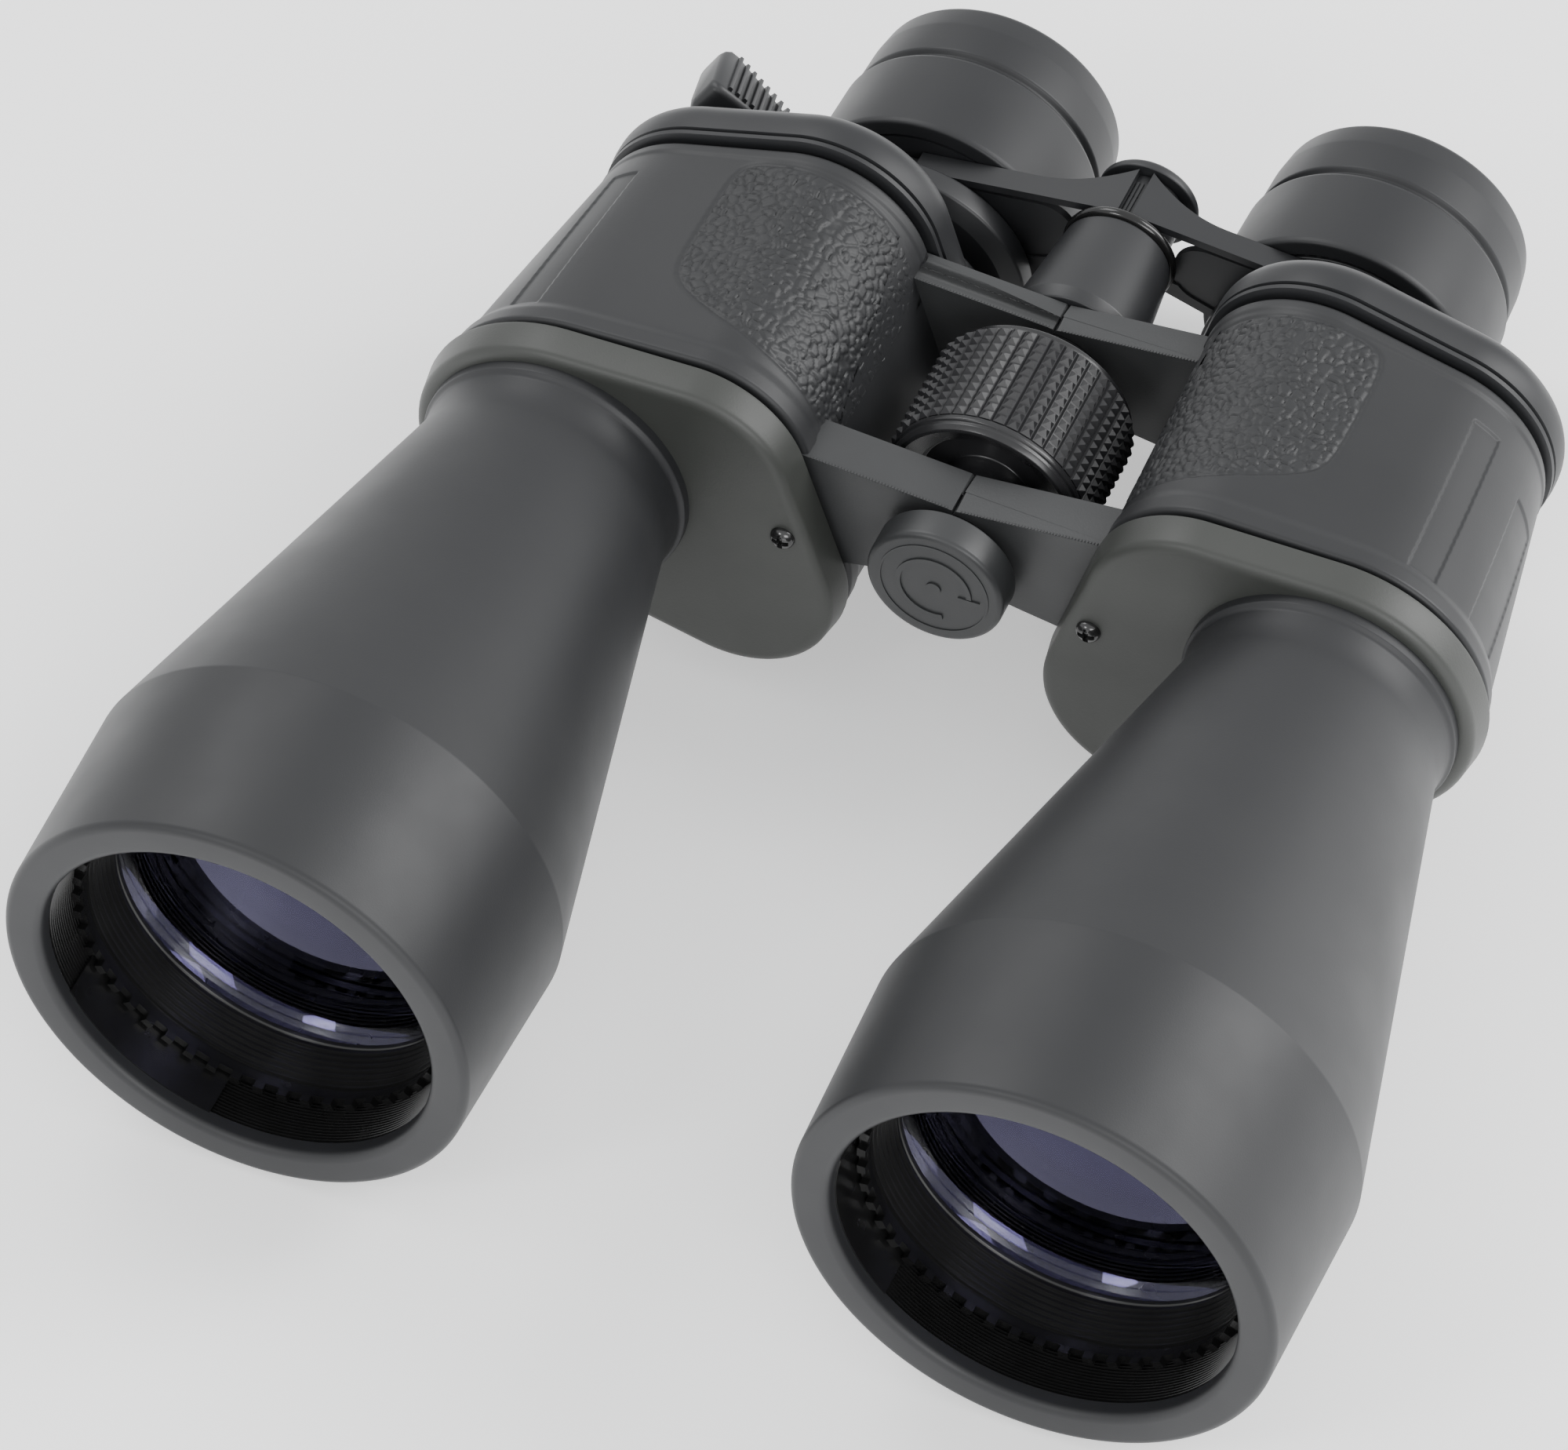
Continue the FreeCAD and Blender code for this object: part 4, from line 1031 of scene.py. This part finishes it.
def make_diopter_ring():
    """Dioptre ring of the right eyepiece, with shallow grip ribs."""
    y0, y1 = span("diopter_ring", "y")
    r = radius_of("diopter_ring")
    body = lathe([(17.1, y0), (r - 0.4, y0, 0.3), (r - 0.4, y1, 0.3), (17.1, y1)], EYEPIECE, 96)
    ribs = []
    count = 60
    for i in range(count):
        rib = block(EYEPIECE[0] - 0.35, EYEPIECE[0] + 0.35, y0 + 0.5, y1 - 0.5,
                    EYEPIECE[1] + r - 0.9, EYEPIECE[1] + r)
        ribs.append(turned_about(rib, 360.0 * i / count, EYEPIECE))
    piece("diopter_ring_look", merged(body, *ribs), "diopter_ring", "plastic",
          ["diopter_ring"])


def rounded_box(width, thickness, corner, x):
    """Rounded rectangle across the lever at x."""
    outline = rounded([(-width / 2, -thickness / 2, corner), (width / 2, -thickness / 2, corner),
                       (width / 2, thickness / 2, corner), (-width / 2, thickness / 2, corner)],
                      5)
    return [(x, y, z) for y, z in outline]


def make_lever():
    """Thumb lever of the zoom ring: stem, widening pad with a rounded end, nine ribs."""
    inner, outer = 24.5, 46.8
    rings = []
    for share, width, thickness in ((0.0, 5.0, 4.6), (0.2, 6.4, 5.4), (0.6, 10.8, 6.8),
                                    (0.88, 14.0, 7.6), (0.94, 14.0, 7.5), (0.98, 13.0, 6.6),
                                    (1.0, 11.6, 5.4)):
        rings.append(rounded_box(width, thickness, 1.3, inner + (outer - inner) * share))
    shapes = [loft(rings)]
    ribs = 9
    for i in range(ribs):
        x = 30.6 + 1.62 * i
        part = (x - inner) / (outer - inner)
        length = 4.6 + 8.0 * part
        face = 2.5 + 1.35 * part
        outline = rounded([(-0.55, -0.5, 0), (0.55, -0.5, 0), (0.32, 0.75, 0.18),
                           (-0.32, 0.75, 0.18)], 3)
        rib = [[(x + a, y, face + b) for a, b in outline] for y in (-length / 2, length / 2)]
        shapes.append(loft(rib))
    points, faces = merged(*shapes)
    middle = (RING_FRONT + RING_BACK) / 2
    roll, lift = math.radians(PAD_ROLL), math.radians(LEVER_ANGLE)
    placed = []
    for x, y, z in points:
        y, z = y * math.cos(roll) - z * math.sin(roll), y * math.sin(roll) + z * math.cos(roll)
        y += middle + 2.2 * min(1.0, (x - inner) / 5.0)
        x, z = x * math.cos(lift) - z * math.sin(lift), x * math.sin(lift) + z * math.cos(lift)
        placed.append((EYEPIECE[0] + x, y, EYEPIECE[1] + z))
    stem = block(RING_R - 1.2, 27.0, middle - 2.0, middle + 2.0, -2.3, 2.3)
    stem = turned_about(stem, -LEVER_ANGLE)
    stem = [(x + EYEPIECE[0], y, z + EYEPIECE[1]) for x, y, z in stem[0]], stem[1]
    piece("zoom_lever_look", mirrored(merged((placed, faces), stem)), "left_zoom_ring",
          "plastic", ["zoom_lever"], sharp=35)


def bridge_top(front, back_far, back_near, z_far, z_near, gap):
    """Top strip of an arm: level, widening backwards near the middle with a hollow curve."""
    far = EYEPIECE[0] + 1.0
    steps = 24
    upper, lower = [], []
    for i in range(steps + 1):
        part = i / steps
        x = gap + (far - gap) * part
        flare = max(0.0, 1.0 - part / 0.42) ** 2
        back = back_far + (back_near - back_far) * flare
        z = z_near + (z_far - z_near) * part
        upper.append([(x, front, z), (x, back, z)])
        lower.append([(x, front, z - 1.5), (x, back, z - 1.5)])
    rings = [[a[0], a[1], b[1], b[0]] for a, b in zip(upper, lower)]
    return loft(rings)


def flat_ring(circles):
    """(x, z) outline around two circles: far arc, upper line, near arc, lower line."""
    return [(x, z) for x, _, z in tangent_ring(circles, 0.0, 30, 24)]


def hollowed(outline, axis, radius):
    """A right-hand outline whose far end is cut back to a circle about an eyepiece axis."""
    def kept(point):
        return math.dist(point, axis) > radius and point[0] < axis[0]
    count = len(outline)
    start = next(i for i in range(count) if kept(outline[i]) and not kept(outline[i - 1]))
    result = []
    for k in range(count):
        point = outline[(start + k) % count]
        if not kept(point):
            break
        result.append(point)
    first, last = (math.atan2(q[1] - axis[1], q[0] - axis[0]) for q in (result[0], result[-1]))
    if last < first:
        last += 2 * math.pi
    turns = 16
    for k in range(turns + 1):
        angle = last + (first - last) * k / turns
        result.append((axis[0] + radius * math.cos(angle), axis[1] + radius * math.sin(angle)))
    return result


def make_bridge():
    """Channel-section bridge arms: flat flared top strips, a recessed web, a lower flange."""
    thin = CUP_Y - 0.3
    front = BRIDGE_FRONT + 0.4
    clear = TUBE_R + 2.0
    outer = flat_ring([(EYEPIECE[0], EYEPIECE[1] + 8.0, 10.4), (4.0, 1.2, 7.1)])
    inside = [(EYEPIECE[0], EYEPIECE[1] + 7.4, 8.4), (14.6, -1.9, 5.6)]
    inner = flat_ring(inside)
    lower_start = 76        # the outlines' points from here on run along the lower edge
    low = [i for i in range(lower_start, len(outer))
           if min(math.dist(outer[i], EYEPIECE), math.dist(inner[i], EYEPIECE)) > clear]
    flange = extruded([outer[i] for i in low] + [inner[i] for i in reversed(low)], front, thin)
    web = extruded(hollowed(flat_ring([(x, z, r + 0.4) for x, z, r in inside]), EYEPIECE, clear),
                   front + 0.4, front + 1.8)
    ring = lathe([(TUBE_R + 0.02, BRIDGE_FRONT - 0.4), (BRIDGE_RING_R, BRIDGE_FRONT - 0.4, 0.5),
                  (BRIDGE_RING_R, thin, 0.5), (TUBE_R + 0.02, thin)], EYEPIECE, 96)
    z_far = EYEPIECE[1] + 8.0 + 10.4
    top = bridge_top(front, thin - 0.02, BRIDGE_BACK, z_far, 8.3, 1.25)
    middle = (BRIDGE_FRONT + BRIDGE_BACK) / 2 + 0.2
    for side in SIDES:
        left = side == "left"
        lap = (front, middle - 0.05) if left else (middle + 0.05, BRIDGE_BACK)
        shape = merged(flange, web, ring, extruded(disc(BRIDGE_KNUCKLE_R), *lap), top)
        if left:
            tabs = [block(-1.1 + 0.75 * k, -0.65 + 0.75 * k, front + 1.0, BRIDGE_BACK - 2.0,
                          6.6, 7.3) for k in range(4)]
            shape = merged(shape, *tabs)
        piece("bridge_arm_" + side + "_look", mirrored(shape) if left else shape,
              side + "_eyepiece", "plastic", ["bridge_arm_" + side], bevel=0.25, steps=2)


def soften_nodes():
    """Small bevels on the CAD solids that stay visible."""
    for name in ("retaining_ring_left", "retaining_ring_right", "ocular_barrel_left",
                 "ocular_barrel_right", "front_axle"):
        modifier = frame["nodes"][name].modifiers.new("soft_edges", "BEVEL")
        modifier.width = 0.12 * MM
        modifier.segments = 2
        modifier.limit_method = "ANGLE"
        modifier.angle_limit = math.radians(50)


MAKERS = (make_armour, make_barrel, make_lens_cell, make_lens, make_front_cover, make_housings,
          make_wraps, make_rear_cover, make_screws, make_wheel, make_cap, make_centre_tube,
          make_eyecups, make_guides, make_diopter_ring, make_lever, make_bridge)


make_camera()
make_studio()
repaint_nodes()
soften_nodes()
for make in MAKERS:
    make()
